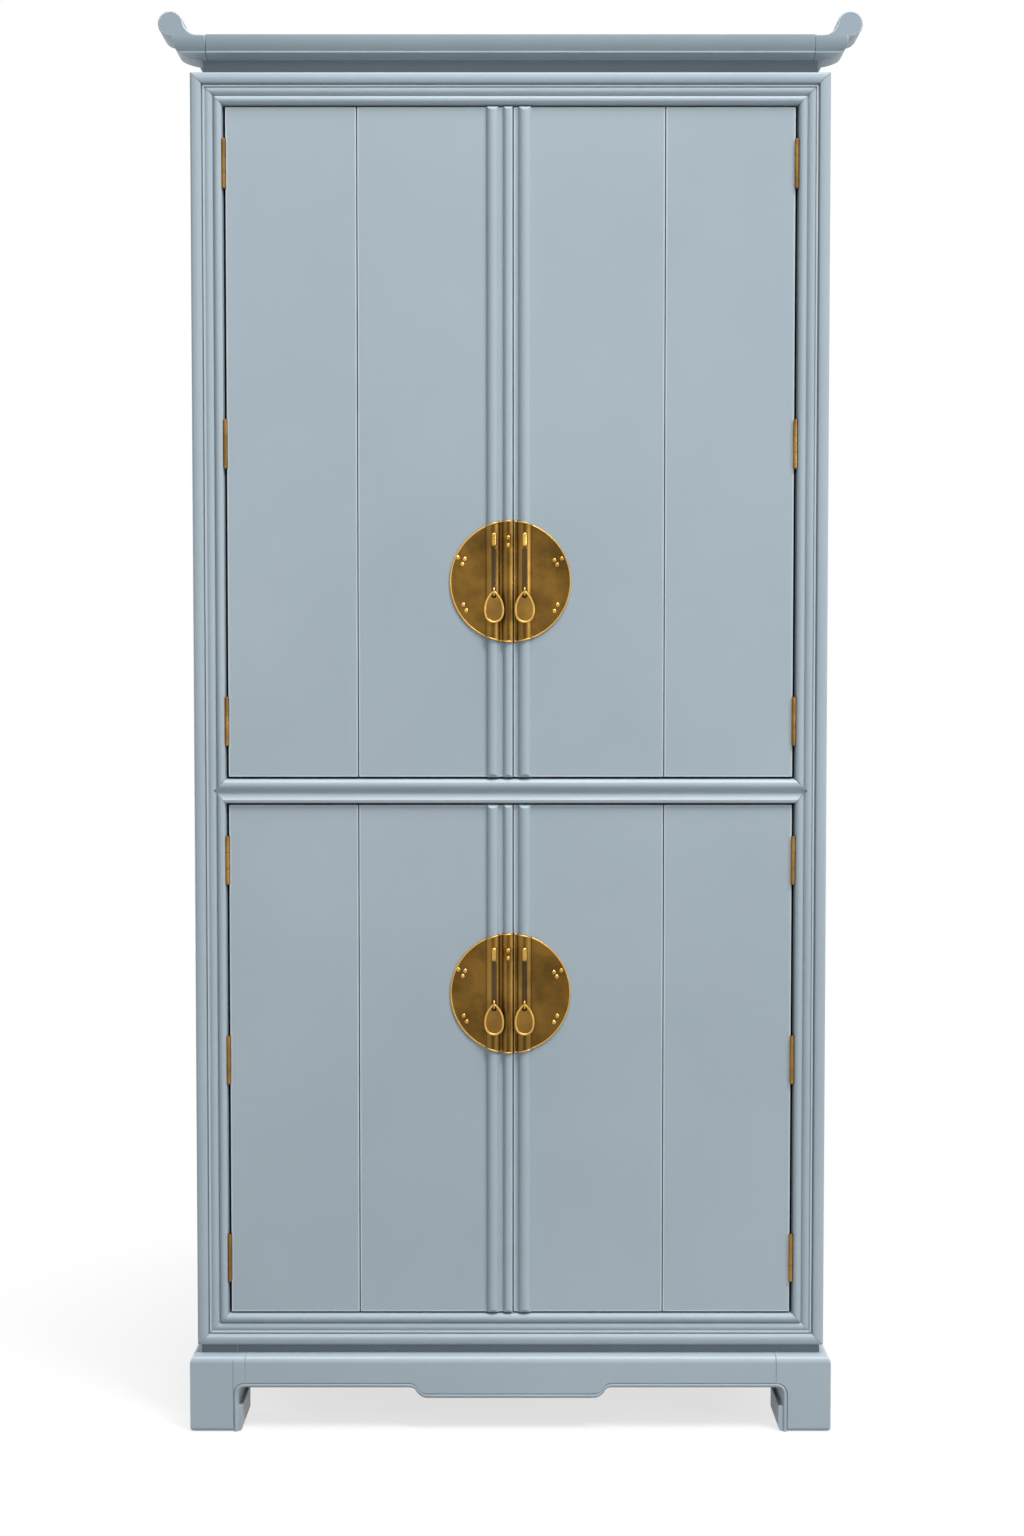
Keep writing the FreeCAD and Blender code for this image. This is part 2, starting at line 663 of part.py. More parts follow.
def top():
    """Neck, rails, panel and scroll flanges."""
    half = HALF - NECK_RECESS
    neck_z = (CARCASS_TOP_Z, NECK_TOP_Z)
    front_t = (NECK_RECESS, NECK_RECESS + NECK_THICK)
    rear_t = (BACK_T - NECK_RECESS - NECK_THICK, BACK_T - NECK_RECESS)
    beside = box((-half, -half + NECK_THICK), (front_t[1], rear_t[0]), neck_z)
    write("neck_rails", [
        box((-half, half), front_t, neck_z), box((-half, half), rear_t, neck_z),
        beside, flip(beside),
    ])

    across = (-TOP_JOINT_X, TOP_JOINT_X)
    front_inner = TOP_FRONT_T + TOP_RAIL_WIDE
    rear_inner = BACK_T - TOP_RAIL_WIDE
    tongue_z = (TOP_Z - PANEL_THICK + 6, TOP_Z - 6)
    tongue = box((-TOP_JOINT_X - PANEL_TONGUE, TOP_JOINT_X + PANEL_TONGUE),
                 (front_inner - PANEL_TONGUE, rear_inner + PANEL_TONGUE), tongue_z)
    panel = box(across, (front_inner, rear_inner), (TOP_Z - PANEL_THICK, TOP_Z))
    write("top_panel", [panel.fuse(tongue).removeSplitter()])
    front = prism_tz(top_edge(TOP_Z, front_inner), across).cut(tongue)
    rear = box(across, (rear_inner, BACK_T), (NECK_TOP_Z, TOP_Z)).cut(tongue)
    end = box((TOP_JOINT_X, TOP_END_X), (front_inner, BACK_T), (NECK_TOP_Z, TOP_Z)).cut(tongue)
    write("top_rails", [front, rear, end, flip(end)])

    # each scroll is a block at the end of the front rail, as deep as the rail
    right = prism_xz(flange_outline(), (TOP_FRONT_T, front_inner))
    right = right.common(prism_tz(top_edge(KNOB_Z + KNOB_R + 1, front_inner),
                                  (TOP_JOINT_X - 1, KNOB_X + KNOB_R + 1)))
    right = right.cut(tongue).removeSplitter()
    write("flange_right", [right])
    write("flange_left", [flip(right)])


# ================================================================ hinges
def knuckles(z):
    """The height ranges of the three knuckles of a hinge."""
    low = z - HINGE_HIGH / 2
    each = (HINGE_HIGH - 2 * KNUCKLE_GAP) / 3
    starts = [low + n * (each + KNUCKLE_GAP) for n in range(3)]
    return [(start, start + each) for start in starts]


def leaf(x, plate_x, z, held):
    """One leaf: a plate in the gap beside the door with its own knuckles round the pin."""
    clear = HINGE_T + NOTCH_R
    end = HINGE_T + LEAF_REACH
    shape = box(plate_x, (clear, end), (z - HINGE_HIGH / 2, z + HINGE_HIGH / 2))
    spans = knuckles(z)
    for n in held:
        shape = shape.fuse([box(plate_x, (HINGE_T, clear), spans[n]),
                            rod_z(x, HINGE_T, BARREL_R, spans[n])])
    bore = rod_z(x, HINGE_T, PIN_HOLE_R, (z - HINGE_HIGH, z + HINGE_HIGH))
    return shape.cut(bore).removeSplitter()


def frame_hinges():
    """Leaves on the stiles and the hinge pins."""
    leaves = []
    pins = []
    for z in hinge_heights():
        left = leaf(-HINGE_X, (-OPEN_HALF, -OPEN_HALF + LEAF_THICK), z, (0, 2))
        half = HINGE_HIGH / 2
        pin = rod_z(-HINGE_X, HINGE_T, PIN_R, (z - half, z + half))
        pin = pin.fuse([
            rod_z(-HINGE_X, HINGE_T, PIN_CAP_R, (z + half, z + half + PIN_CAP_HIGH)),
            rod_z(-HINGE_X, HINGE_T, PIN_CAP_R, (z - half - PIN_CAP_HIGH, z - half)),
        ]).removeSplitter()
        leaves += [left, flip(left)]
        pins += [pin, flip(pin)]
    write("hinge_frame_leaves", leaves)
    write("hinge_pins", pins)


# ================================================================ doors
def reed_circle(reed):
    """The centre and radius of a reed in plan."""
    x, width, proud = reed
    radius = ((width / 2) ** 2 + proud ** 2) / (2 * proud)
    return x, DOOR_FACE_T - proud + radius, radius


def reed_rod(reed, grow, z):
    """A full round along a reed, grown by some thickness."""
    x, depth, radius = reed_circle(reed)
    return rod_z(x, depth, radius + grow, z)


def reeds_of(reeds, span, limits):
    """Half-round reeds down the meeting edge, bevelled at both ends."""
    low, high = span
    crown = DOOR_FACE_T - max(reed[2] for reed in reeds)
    lean = crown + REED_BEVEL
    keep = prism_tz([
        (crown - 1, low + REED_BEVEL + 1), (lean, low), (DOOR_FACE_T, low),
        (DOOR_FACE_T, high), (lean, high), (crown - 1, high - REED_BEVEL - 1),
    ], limits)
    return [reed_rod(reed, 0.0, span).common(keep) for reed in reeds]


def plate_of(reeds, centre_z, limits):
    """Half of a round plate, formed over the reeds."""
    span = (centre_z - PLATE_R - 1, centre_z + PLATE_R + 1)
    back = DOOR_FACE_T - PLATE_GAP
    wide = (-PLATE_R - 1, PLATE_R + 1)
    sheet = box(wide, (back - PLATE_THICK, back), span)
    sheet = sheet.fuse([reed_rod(reed, PLATE_GAP + PLATE_THICK, span) for reed in reeds])
    sheet = sheet.cut([reed_rod(reed, PLATE_GAP, span) for reed in reeds])
    sheet = sheet.common(box(limits, (-20.0, back), span))
    return sheet.common(rod_y(0.0, centre_z, PLATE_R, (-20.0, back + 1))).removeSplitter()


def seat_radius(reed, extra):
    """How far from a reed's axis a fitting sits on the formed sheet."""
    return reed_circle(reed)[2] + PLATE_GAP + PLATE_THICK + extra


def post_of(reed, x, centre_z):
    """A pierced post standing on the sheet, with a tang into the plank behind."""
    z = centre_z + POST_DZ
    half = POST_WIDE / 2
    tall = POST_HIGH / 2
    pill = prism_xz([
        (x - half, z - tall + half), ((x, z - tall), (x + half, z - tall + half)),
        (x + half, z + tall - half), ((x, z + tall), (x - half, z + tall - half)),
    ], (POST_REACH_T, 2.0))
    nose = 6.0
    tip = POST_REACH_T
    shape = pill.common(prism_tz([
        (3.0, z - tall), (tip + nose, z - tall),
        (on_arc((tip + nose, z - tall + nose), nose, 225), (tip, z - tall + nose)),
        (tip, z + tall - nose),
        (on_arc((tip + nose, z + tall - nose), nose, 135), (tip + nose, z + tall)),
        (3.0, z + tall),
    ], (x - half, x + half)))
    axis_x, axis_t, _ = reed_circle(reed)
    seat = rod_z(axis_x, axis_t, seat_radius(reed, SEAT_GAP), (z - tall - 1, z + tall + 1))
    shape = shape.cut(seat)
    tang = rod_y(x, z, POST_TANG_R, (-2.0, POST_TANG_END_T))
    shape = shape.fuse(tang)
    hole = rod_x(POST_HOLE_T, z, POST_HOLE_R, (x - half - 1, x + half + 1))
    return shape.cut(hole).removeSplitter()


def eye_depth(reed):
    """The depth of the middle of the ring eye."""
    return DOOR_FACE_T - reed[2] - PLATE_GAP - PLATE_THICK - SEAT_GAP - STRAP_THICK - EYE_STAND


def strap_and_eye(reed, x, centre_z):
    """A flat strap down the crown of the reed with a standing ring eye near its foot."""
    axis_x, axis_t, _ = reed_circle(reed)
    span = (centre_z + STRAP_END_DZ, centre_z + STRAP_TOP_DZ)
    inner = seat_radius(reed, SEAT_GAP)
    strap = rod_z(axis_x, axis_t, inner + STRAP_THICK, span)
    strap = strap.cut(rod_z(axis_x, axis_t, inner, span))
    strap = strap.common(box((x - STRAP_WIDE / 2, x + STRAP_WIDE / 2), (-20.0, axis_t - 1), span))
    ring = Part.makeTorus(EYE_R, EYE_WIRE_R,
                          Vector(x, y_of(eye_depth(reed)), centre_z + EYE_DZ), Vector(1, 0, 0))
    ring = ring.cut(rod_z(axis_x, axis_t, inner + STRAP_THICK * 0.4, span))
    return strap.fuse(ring).removeSplitter()


def tear(centre_low, r_low, centre_high, r_high, x):
    """A pear outline round two circles, one above the other."""
    gap = centre_high - centre_low
    lean = math.degrees(math.asin((r_low - r_high) / gap))
    low = (x, centre_low)
    high = (x, centre_high)
    return [
        on_arc(low, r_low, 180 - lean), (on_arc(low, r_low, 270), on_arc(low, r_low, lean)),
        on_arc(high, r_high, lean), (on_arc(high, r_high, 90), on_arc(high, r_high, 180 - lean)),
    ]


def pull_of(reed, x, centre_z):
    """A pear-shaped drop pull with a raised rim, hung on the ring eye."""
    depth = eye_depth(reed)
    low = centre_z + PULL_END_DZ + PULL_BOTTOM_R
    high = centre_z + PULL_TOP_DZ - PULL_TOP_R
    front = depth - PULL_THICK / 2
    body = prism_xz(tear(low, PULL_BOTTOM_R, high, PULL_TOP_R, x), (front, front + PULL_THICK))
    sunk = tear(low, PULL_BOTTOM_R - PULL_RIM, high - 13, 2.6, x)
    body = body.cut(prism_xz(sunk, (front - 1, front + PULL_SINK)))
    hole = rod_y(x, centre_z + EYE_DZ - EYE_R, PULL_HOLE_R, (front - 1, front + PULL_THICK + 1))
    return body.cut(hole).removeSplitter()


def stud_of(x, z, seat_t, saddle):
    """A domed nail, sitting flat on the sheet or saddled over a reed."""
    radius = (STUD_R ** 2 + STUD_HIGH ** 2) / (2 * STUD_HIGH)
    ball = Part.makeSphere(radius, Vector(x, y_of(seat_t - STUD_HIGH + radius), z))
    dome = ball.common(rod_y(x, z, STUD_R, (seat_t - STUD_HIGH - 1, seat_t)))
    if saddle is not None:
        dome = dome.fuse(rod_y(x, z, STUD_R, (seat_t, seat_t + 1.2))).cut(saddle)
    nail = rod_y(x, z, STUD_NAIL_R, (seat_t - 0.5, seat_t + STUD_NAIL_LONG))
    return dome.fuse(nail).removeSplitter()


def door(tier, side):
    """Every piece of one door."""
    name = f"{tier}_{side}"
    span = DOOR_SPANS_Z[tier]
    centre_z = PLATE_Z[tier]
    back_t = DOOR_FACE_T + DOOR_THICK
    left = side == "left"
    reeds = LEFT_REEDS if left else RIGHT_REEDS
    meet = LEFT_MEET_X if left else RIGHT_MEET_X
    seam = SEAM_LEFT_X if left else SEAM_RIGHT_X
    hinge_x = -HINGE_X if left else HINGE_X
    outer = -DOOR_EDGE if left else DOOR_EDGE
    main = reeds[0]
    x = POST_X[side]

    flat_t = DOOR_FACE_T - PLATE_GAP - PLATE_THICK
    studs = [stud_of(sx, centre_z + dz, flat_t, None)
             for sx, dz in (LEFT_STUDS if left else RIGHT_STUDS)]
    nails = [(sx, centre_z + dz, flat_t) for sx, dz in (LEFT_STUDS if left else RIGHT_STUDS)]
    if left:
        middle = reeds[1]
        axis_x, axis_t, _ = reed_circle(middle)
        saddle = rod_z(axis_x, axis_t, seat_radius(middle, 0.0), (centre_z, centre_z + PLATE_R))
        crown_t = axis_t - seat_radius(middle, 0.0)
        studs += [stud_of(sx, centre_z + dz, crown_t, saddle) for sx, dz in CENTRE_STUDS]
        nails += [(sx, centre_z + dz, crown_t) for sx, dz in CENTRE_STUDS]
    holes = [rod_y(sx, sz, STUD_NAIL_R + TANG_GAP, (-20.0, st + STUD_NAIL_LONG + TANG_GAP))
             for sx, sz, st in nails]
    holes.append(rod_y(x, centre_z + POST_DZ, POST_TANG_R + TANG_GAP,
                       (-20.0, POST_TANG_END_T + TANG_GAP)))

    edges = (outer, seam, meet) if left else (meet, seam, outer)
    planks = [prism_xt(path, span)
              for path in joined_boards(edges, DOOR_FACE_T, back_t, TONGUE, True)]
    notches = barrel_notches(hinge_x)
    planks = [plank.cut(notches + holes).removeSplitter() for plank in planks]
    write(f"{name}_planks", planks)

    limits = (outer, meet) if left else (meet, outer)
    strips = [reed.cut(holes) for reed in reeds_of(reeds, span, limits)]
    write(f"{name}_reeds", strips)

    count = 3 if tier == "upper" else 2
    first = span[0] + BATTEN_INSET
    last = span[1] - BATTEN_INSET - BATTEN_HIGH
    batten_x = (outer + 30, -50.0) if left else (50.0 + RIGHT_MEET_X, outer - 30)
    battens = []
    for n in range(count):
        z = first + (last - first) * n / (count - 1)
        battens.append(box(batten_x, (back_t, back_t + BATTEN_THICK), (z, z + BATTEN_HIGH)))
    write(f"{name}_battens", battens)

    plate_x = (outer, outer - LEAF_THICK) if left else (outer, outer + LEAF_THICK)
    heights = [z for z in hinge_heights() if span[0] < z < span[1]]
    write(f"{name}_hinge_leaves", [leaf(hinge_x, plate_x, z, (1,)) for z in heights])

    if left:
        sheet_x = (-PLATE_R - 1, meet - PLATE_EDGE_GAP)
    else:
        sheet_x = (meet + PLATE_EDGE_GAP, PLATE_R + 1)
    write(f"{name}_plate", [plate_of(reeds, centre_z, sheet_x).cut(holes)])
    write(f"{name}_studs", studs)
    write(f"{name}_post_and_eye", [post_of(main, x, centre_z), strap_and_eye(main, x, centre_z)])
    write(f"{name}_pull", [pull_of(main, x, centre_z)])


os.makedirs("parts", exist_ok=True)
face_frame()
carcass()
base()
top()
frame_hinges()
for tier in ("upper", "lower"):
    for side in ("left", "right"):
        door(tier, side)
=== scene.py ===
# %% [markdown]
# # A tall painted hutch
# Four plank doors hang in a moulded face frame, two above and two below, on a low base with
# square feet, under a top whose ends curl up. The solid model is loaded first and fixes every
# size. This lesson then dresses it: each piece is modelled again with soft edges and real
# mouldings, and gets a painted, wooden or brass finish.

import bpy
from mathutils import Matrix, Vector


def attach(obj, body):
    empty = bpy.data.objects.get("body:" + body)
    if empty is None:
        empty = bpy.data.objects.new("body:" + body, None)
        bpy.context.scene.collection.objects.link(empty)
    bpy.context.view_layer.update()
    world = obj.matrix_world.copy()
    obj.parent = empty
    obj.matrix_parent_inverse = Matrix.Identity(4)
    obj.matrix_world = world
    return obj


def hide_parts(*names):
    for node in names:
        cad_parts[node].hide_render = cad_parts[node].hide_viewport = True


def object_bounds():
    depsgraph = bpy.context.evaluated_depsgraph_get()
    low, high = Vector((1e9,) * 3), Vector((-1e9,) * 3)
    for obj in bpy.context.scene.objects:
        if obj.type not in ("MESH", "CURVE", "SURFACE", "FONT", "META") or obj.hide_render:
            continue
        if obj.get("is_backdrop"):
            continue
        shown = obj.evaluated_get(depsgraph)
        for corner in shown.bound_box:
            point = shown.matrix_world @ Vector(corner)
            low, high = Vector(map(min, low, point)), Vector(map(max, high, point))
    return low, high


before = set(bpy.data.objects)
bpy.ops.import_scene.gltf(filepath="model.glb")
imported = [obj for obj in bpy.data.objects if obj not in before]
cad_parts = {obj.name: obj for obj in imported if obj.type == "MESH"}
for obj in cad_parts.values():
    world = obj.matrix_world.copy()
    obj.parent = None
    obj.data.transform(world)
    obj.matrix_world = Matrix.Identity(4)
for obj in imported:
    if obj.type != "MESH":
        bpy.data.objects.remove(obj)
cad_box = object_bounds()
print("solid model from", [round(v, 4) for v in cad_box[0]],
      "to", [round(v, 4) for v in cad_box[1]])

# %% [markdown]
# The maker measures in millimetres: across from the middle, up from the floor, and in depth
# behind the crown of the face frame. Blender works in metres with the doors facing -Y, so one
# small function turns a maker's measure into a Blender place.

# %% Maker's measures
import math

import bpy
from mathutils import Vector

MM = 0.001
MIDDLE_DEPTH = 241.95


def place(x, depth, z):
    """A Blender point from millimetres across, behind the frame's crown, and up."""
    return Vector((x * MM, (depth - MIDDLE_DEPTH) * MM, z * MM))


print("the frame's crown is at Y =", round(place(0, 0, 0).y, 4))

# %% [markdown]
# The photograph was taken from straight ahead, a little over a metre up and about three
# metres away, looking very slightly down. The lens follows from how fast the cabinet narrows
# toward its top, so the camera is set from those measures instead of by eye.

# %% Camera
CAMERA_X = 2.3
CAMERA_DISTANCE = 2971.0
CAMERA_HEIGHT = 1117.0
CAMERA_TILT = 2.335
LENS = 46.97

bpy.ops.object.select_all(action="DESELECT")
bpy.ops.object.camera_add(location=place(CAMERA_X, -CAMERA_DISTANCE, CAMERA_HEIGHT),
                          rotation=(math.radians(90 - CAMERA_TILT), 0, 0))
camera = bpy.context.object
camera.name = "photo_camera"
camera.data.lens = LENS
camera.data.sensor_width = 36
bpy.context.scene.camera = camera
bpy.context.scene.view_settings.view_transform = "Standard"
print("camera at", [round(v, 3) for v in camera.location])

# %% [markdown]
# Materials are built from a handful of nodes again and again, so a short helper adds one node
# and fills or links its sockets by name. Names that start with a capital are sockets, the
# others are settings.

# %% Adding nodes
def feed(tree, socket, value):
    """Links a pattern to a socket, or writes a plain value there."""
    if isinstance(value, bpy.types.NodeSocket):
        tree.links.new(value, socket)
    elif socket.type == "RGBA":
        socket.default_value = (*value, 1.0)
    else:
        socket.default_value = value


def add(tree, kind, **settings):
    """One shader node with its settings, and its sockets filled or linked."""
    node = tree.nodes.new(f"ShaderNode{kind}")
    for name, value in settings.items():
        if name[0].isupper():
            feed(tree, node.inputs[name.replace("_", " ")], value)
        else:
            setattr(node, name, value)
    return node


print("nodes can be added")

# %% [markdown]
# Mixing two colours and working two patterns into one have their own helpers, because the
# sockets of those nodes are easier to find by number. A random pattern and a way to stretch its
# range are all else that the finishes need.

# %% Mixes and patterns
def two_tone(tree, factor, first, second):
    """A colour between two others."""
    mix = add(tree, "Mix", data_type="RGBA")
    for number, value in ((0, factor), (6, first), (7, second)):
        feed(tree, mix.inputs[number], value)
    return mix.outputs[2]


def spread(tree, value, low, high, start=0.0, end=1.0):
    """Stretches the part of a pattern from low to high over start to end."""
    return add(tree, "MapRange", Value=value, From_Min=low, From_Max=high,
               To_Min=start, To_Max=end).outputs[0]


def both(tree, first, second, operation="MULTIPLY"):
    """Two patterns worked into one."""
    node = add(tree, "Math", operation=operation)
    feed(tree, node.inputs[0], first)
    feed(tree, node.inputs[1], second)
    return node.outputs[0]


def cloud(tree, where, scale, detail=3.0):
    """A soft random pattern."""
    return add(tree, "TexNoise", Vector=where, Scale=scale, Detail=detail).outputs[0]


print("colours and patterns can be mixed")

# %% [markdown]
# The room is a plain white studio. The world gives a weak even light from all round, and is
# plain white where the camera or a reflection looks straight at it. A world that is white for
# everything would be simpler, but it would wash out the shading of the mouldings.

# %% Studio world
WHITE = (1.0, 1.0, 1.0)
WORLD_LIGHT = 0.08


def straight_look(tree):
    """1 where the camera, a reflection or glass looks, and 0 where light gathers."""
    path = add(tree, "LightPath").outputs
    seen = both(tree, path["Is Camera Ray"], path["Is Glossy Ray"], "MAXIMUM")
    return both(tree, seen, path["Is Transmission Ray"], "MAXIMUM")


def mixed(tree, factor, first, second):
    """One shader fading into another."""
    mix = add(tree, "MixShader", Fac=factor)
    tree.links.new(first.outputs[0], mix.inputs[1])
    tree.links.new(second.outputs[0], mix.inputs[2])
    return mix


world = bpy.data.worlds.new("white_studio")
world.use_nodes = True
bpy.context.scene.world = world
sky = world.node_tree
sky.nodes.clear()
soft = add(sky, "Background", Color=WHITE, Strength=WORLD_LIGHT)
white = add(sky, "Background", Color=WHITE, Strength=1.0)
add(sky, "OutputWorld", Surface=mixed(sky, straight_look(sky), soft, white).outputs[0])
print("world light", WORLD_LIGHT)

# %% [markdown]
# The floor shows the same white, but keeps part of its own shading near the cabinet, so that
# the soft shadow under it stays. Farther out it glows more and more, until its edge can't be
# told from the world.

# %% Studio floor
FLOOR_SIZE = 40.0
FLOOR_DROP = 0.0003
FLOOR_SHADE = (0.42, 0.42, 0.42)
FLOOR_PALE = (0.90, 0.90, 0.90)
GLOW_NEAR, GLOW_FAR = 0.70, 1.0
SHADOW_REACH = (0.35, 1.1)

bpy.ops.mesh.primitive_plane_add(size=FLOOR_SIZE, location=(0, 0, -FLOOR_DROP))
floor = bpy.context.object
floor.name = "studio_floor"
floor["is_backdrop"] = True
pale = bpy.data.materials.new("pale_floor")
pale.use_nodes = True
tree = pale.node_tree
tree.nodes.clear()
where = add(tree, "TexCoord").outputs["Object"]
away = add(tree, "VectorMath", operation="LENGTH", Vector=where).outputs["Value"]
glow = spread(tree, away, *SHADOW_REACH, GLOW_NEAR, GLOW_FAR)
shown = mixed(tree, glow, add(tree, "BsdfDiffuse", Color=FLOOR_PALE),
              add(tree, "Emission", Color=WHITE, Strength=1.0))
dull = add(tree, "BsdfDiffuse", Color=FLOOR_SHADE)
add(tree, "OutputMaterial", Surface=mixed(tree, straight_look(tree), dull, shown).outputs[0])
floor.data.materials.append(pale)
print("studio floor", FLOOR_SIZE, "m across")

# %% [markdown]
# Every bead is light on its upper and right-hand side and dark below, so the main lamp is a
# soft panel high up in front and to the right, and a narrow one low on the right draws a thin
# line of light down every upright bead. A weaker one on the left softens the shadows, a wide
# panel overhead brightens all that faces up, and weak ones in front, beside and behind keep
# the other sides open.

# %% Lamps
def lamp(name, spot, aim, size, power):
    """A square soft panel that faces a point."""
    bpy.ops.object.select_all(action="DESELECT")
    turn = (Vector(aim) - Vector(spot)).to_track_quat("-Z", "Y").to_euler()
    bpy.ops.object.light_add(type="AREA", location=spot, rotation=turn)
    panel = bpy.context.object
    panel.name = name
    panel.data.shape = "SQUARE"
    panel.data.size = size
    panel.data.energy = power
    return panel


HEART = (0.0, -0.25, 1.05)
lamps = [
    lamp("key_panel", (3.4, -4.0, 8.2), HEART, 2.0, 540.0),
    lamp("edge_panel", (4.6, -3.4, 1.5), HEART, 1.0, 52.0),
    lamp("fill_panel", (-1.6, -5.4, 5.4), HEART, 2.6, 76.0),
    lamp("top_panel", (0.5, -2.3, 8.0), (0.0, -0.2, 0.8), 2.2, 300.0),
    lamp("front_panel", (-0.6, -5.6, 1.6), HEART, 3.2, 12.0),
    lamp("left_panel", (-3.2, 1.2, 0.9), HEART, 1.4, 45.0),
    lamp("right_panel", (3.2, 1.2, 0.9), HEART, 1.4, 25.0),
    lamp("rear_panel", (0.0, 4.2, 1.8), HEART, 2.4, 40.0),
]
print("lamps:", [(panel.name, panel.data.energy) for panel in lamps])

# %% [markdown]
# Paint, wood and metal start from the same few things: an empty material, a random pattern drawn
# out along a board, and a pattern felt as a slight relief. Only brush lines, pores and specks
# are left to that relief, because they are too fine to model. All other shapes are geometry.

# %% Beginnings of a finish
def new_finish(name):
    """An empty finish: the material, its node tree and its shader."""
    material = bpy.data.materials.new(name)
    material.use_nodes = True
    tree = material.node_tree
    return material, tree, tree.nodes["Principled BSDF"]


def stretched_cloud(tree, where, along, slow, quick, detail):
    """A random pattern drawn out along one axis."""
    scale = [quick] * 3
    scale["XYZ".index(along)] = slow
    drawn_out = add(tree, "Mapping", Vector=where, Scale=scale).outputs[0]
    return cloud(tree, drawn_out, 1.0, detail)


def relief(tree, shader, pattern, strength, high):
    """A pattern felt as a slight relief."""
    bump = add(tree, "Bump", Strength=strength, Distance=high, Height=pattern)
    feed(tree, shader.inputs["Normal"], bump.outputs[0])


print("finishes can be started")

# %% [markdown]
# The paint is a satin grey-blue, brushed along each board. It is nearly even: a slow drift of
# tone over the whole cabinet, fine mottling, and brush lines that only show as a faint relief.
# Edges are painted a little paler in places, partly as wear and partly as painted highlights.
# Pieces mark their own softened edges with a face attribute called "edge", which the finish
# reads, so the pale paint sits exactly on the arrises. The recesses have the same paint made
# darker as painted shade, the top is painted darker than the doors as painted shade, and the
# walls of the door openings are painted nearly black as painted shadow.

# %% Paint
PAINT_DEEP = (0.348, 0.418, 0.468)
PAINT_PALE = (0.388, 0.461, 0.513)
PAINT_WORN_HIGHLIGHT = (0.60, 0.66, 0.70)
# Painted shade: the same paint made darker for the recesses, in place of their shadow.
PAINTED_SHADE_DEEP = (0.182, 0.226, 0.256)
PAINTED_SHADE_PALE = (0.208, 0.255, 0.288)
# Painted shadow: nearly black paint for the walls deep in the door openings.
GAP_SHADE_DEEP = (0.045, 0.055, 0.062)
GAP_SHADE_PALE = (0.055, 0.066, 0.075)
# Painted shade: the paint of the top is made darker than that of the doors.
SHADED_TOP_DEEP = (0.285, 0.352, 0.398)
SHADED_TOP_PALE = (0.318, 0.387, 0.436)
BRUSH_ALONG, BRUSH_ACROSS = 4.0, 700.0
DRIFT_SCALE, MOTTLE_SCALE, MOTTLE_MOST = 2.3, 38.0, 0.12
WEAR_HIGHLIGHT_SCALE, WEAR_HIGHLIGHT_LEAST, WEAR_HIGHLIGHT_MOST = 12.0, 0.48, 0.66
PAINT_SATIN, PAINT_DULL, PAINT_GLOSS = 0.34, 0.40, 0.12
BRUSH_RELIEF, BRUSH_HIGH = 0.07, 0.0003


def brushed_paint(name, along, deep=PAINT_DEEP, pale=PAINT_PALE):
    """Satin paint brushed along one axis."""
    material, tree, shader = new_finish(name)
    where = add(tree, "TexCoord").outputs["Object"]
    brush = stretched_cloud(tree, where, along, BRUSH_ALONG, BRUSH_ACROSS, 4.0)
    mottle = cloud(tree, where, MOTTLE_SCALE, 5.0)
    drift = spread(tree, cloud(tree, where, DRIFT_SCALE), 0.3, 0.7)
    tone = two_tone(tree, drift, deep, pale)
    tone = two_tone(tree, spread(tree, mottle, 0.35, 0.75, 0.0, MOTTLE_MOST), tone, deep)
    edge = add(tree, "Attribute", attribute_name="edge").outputs["Fac"]
    # Softened edges get a paler paint: partly wear, partly painted highlight.
    worn_highlight = spread(tree, cloud(tree, where, WEAR_HIGHLIGHT_SCALE, 2.0), 0.40, 0.64, WEAR_HIGHLIGHT_LEAST, WEAR_HIGHLIGHT_MOST)
    wear_and_highlight = both(tree, edge, worn_highlight)
    feed(tree, shader.inputs["Base Color"], two_tone(tree, wear_and_highlight, tone, PAINT_WORN_HIGHLIGHT))
    feed(tree, shader.inputs["Roughness"],
         spread(tree, mottle, 0.3, 0.7, PAINT_SATIN, PAINT_DULL))
    relief(tree, shader, brush, BRUSH_RELIEF, BRUSH_HIGH)
    shader.inputs["Specular IOR Level"].default_value = PAINT_GLOSS
    return material


PAINT = {along: brushed_paint(f"paint_brushed_{along.lower()}", along) for along in "XYZ"}
PAINTED_SHADE = brushed_paint("paint_painted_shade", "X", PAINTED_SHADE_DEEP, PAINTED_SHADE_PALE)
SHADED_TOP_PAINT = brushed_paint("paint_top_shaded", "X", SHADED_TOP_DEEP, SHADED_TOP_PALE)
GAP_SHADE = brushed_paint("paint_gap_shade", "Z", GAP_SHADE_DEEP, GAP_SHADE_PALE)
print("paint finishes:", [material.name for material in PAINT.values()],
      PAINTED_SHADE.name, SHADED_TOP_PAINT.name, GAP_SHADE.name)

# %% [markdown]
# The photograph keeps the doors shut, so the wood inside is a fair guess: plain oiled boards.
# Long grain is a noise pattern stretched along the board, with a finer one for the pores.

# %% Oiled wood
WOOD_PALE = (0.34, 0.205, 0.105)
WOOD_DARK = (0.165, 0.088, 0.040)
GRAIN_ALONG, GRAIN_ACROSS = 1.1, 17.0
PORES_ALONG, PORES_ACROSS = 14.0, 420.0
WOOD_SATIN, WOOD_DULL = 0.42, 0.62
PORE_RELIEF, PORE_HIGH = 0.3, 0.0005


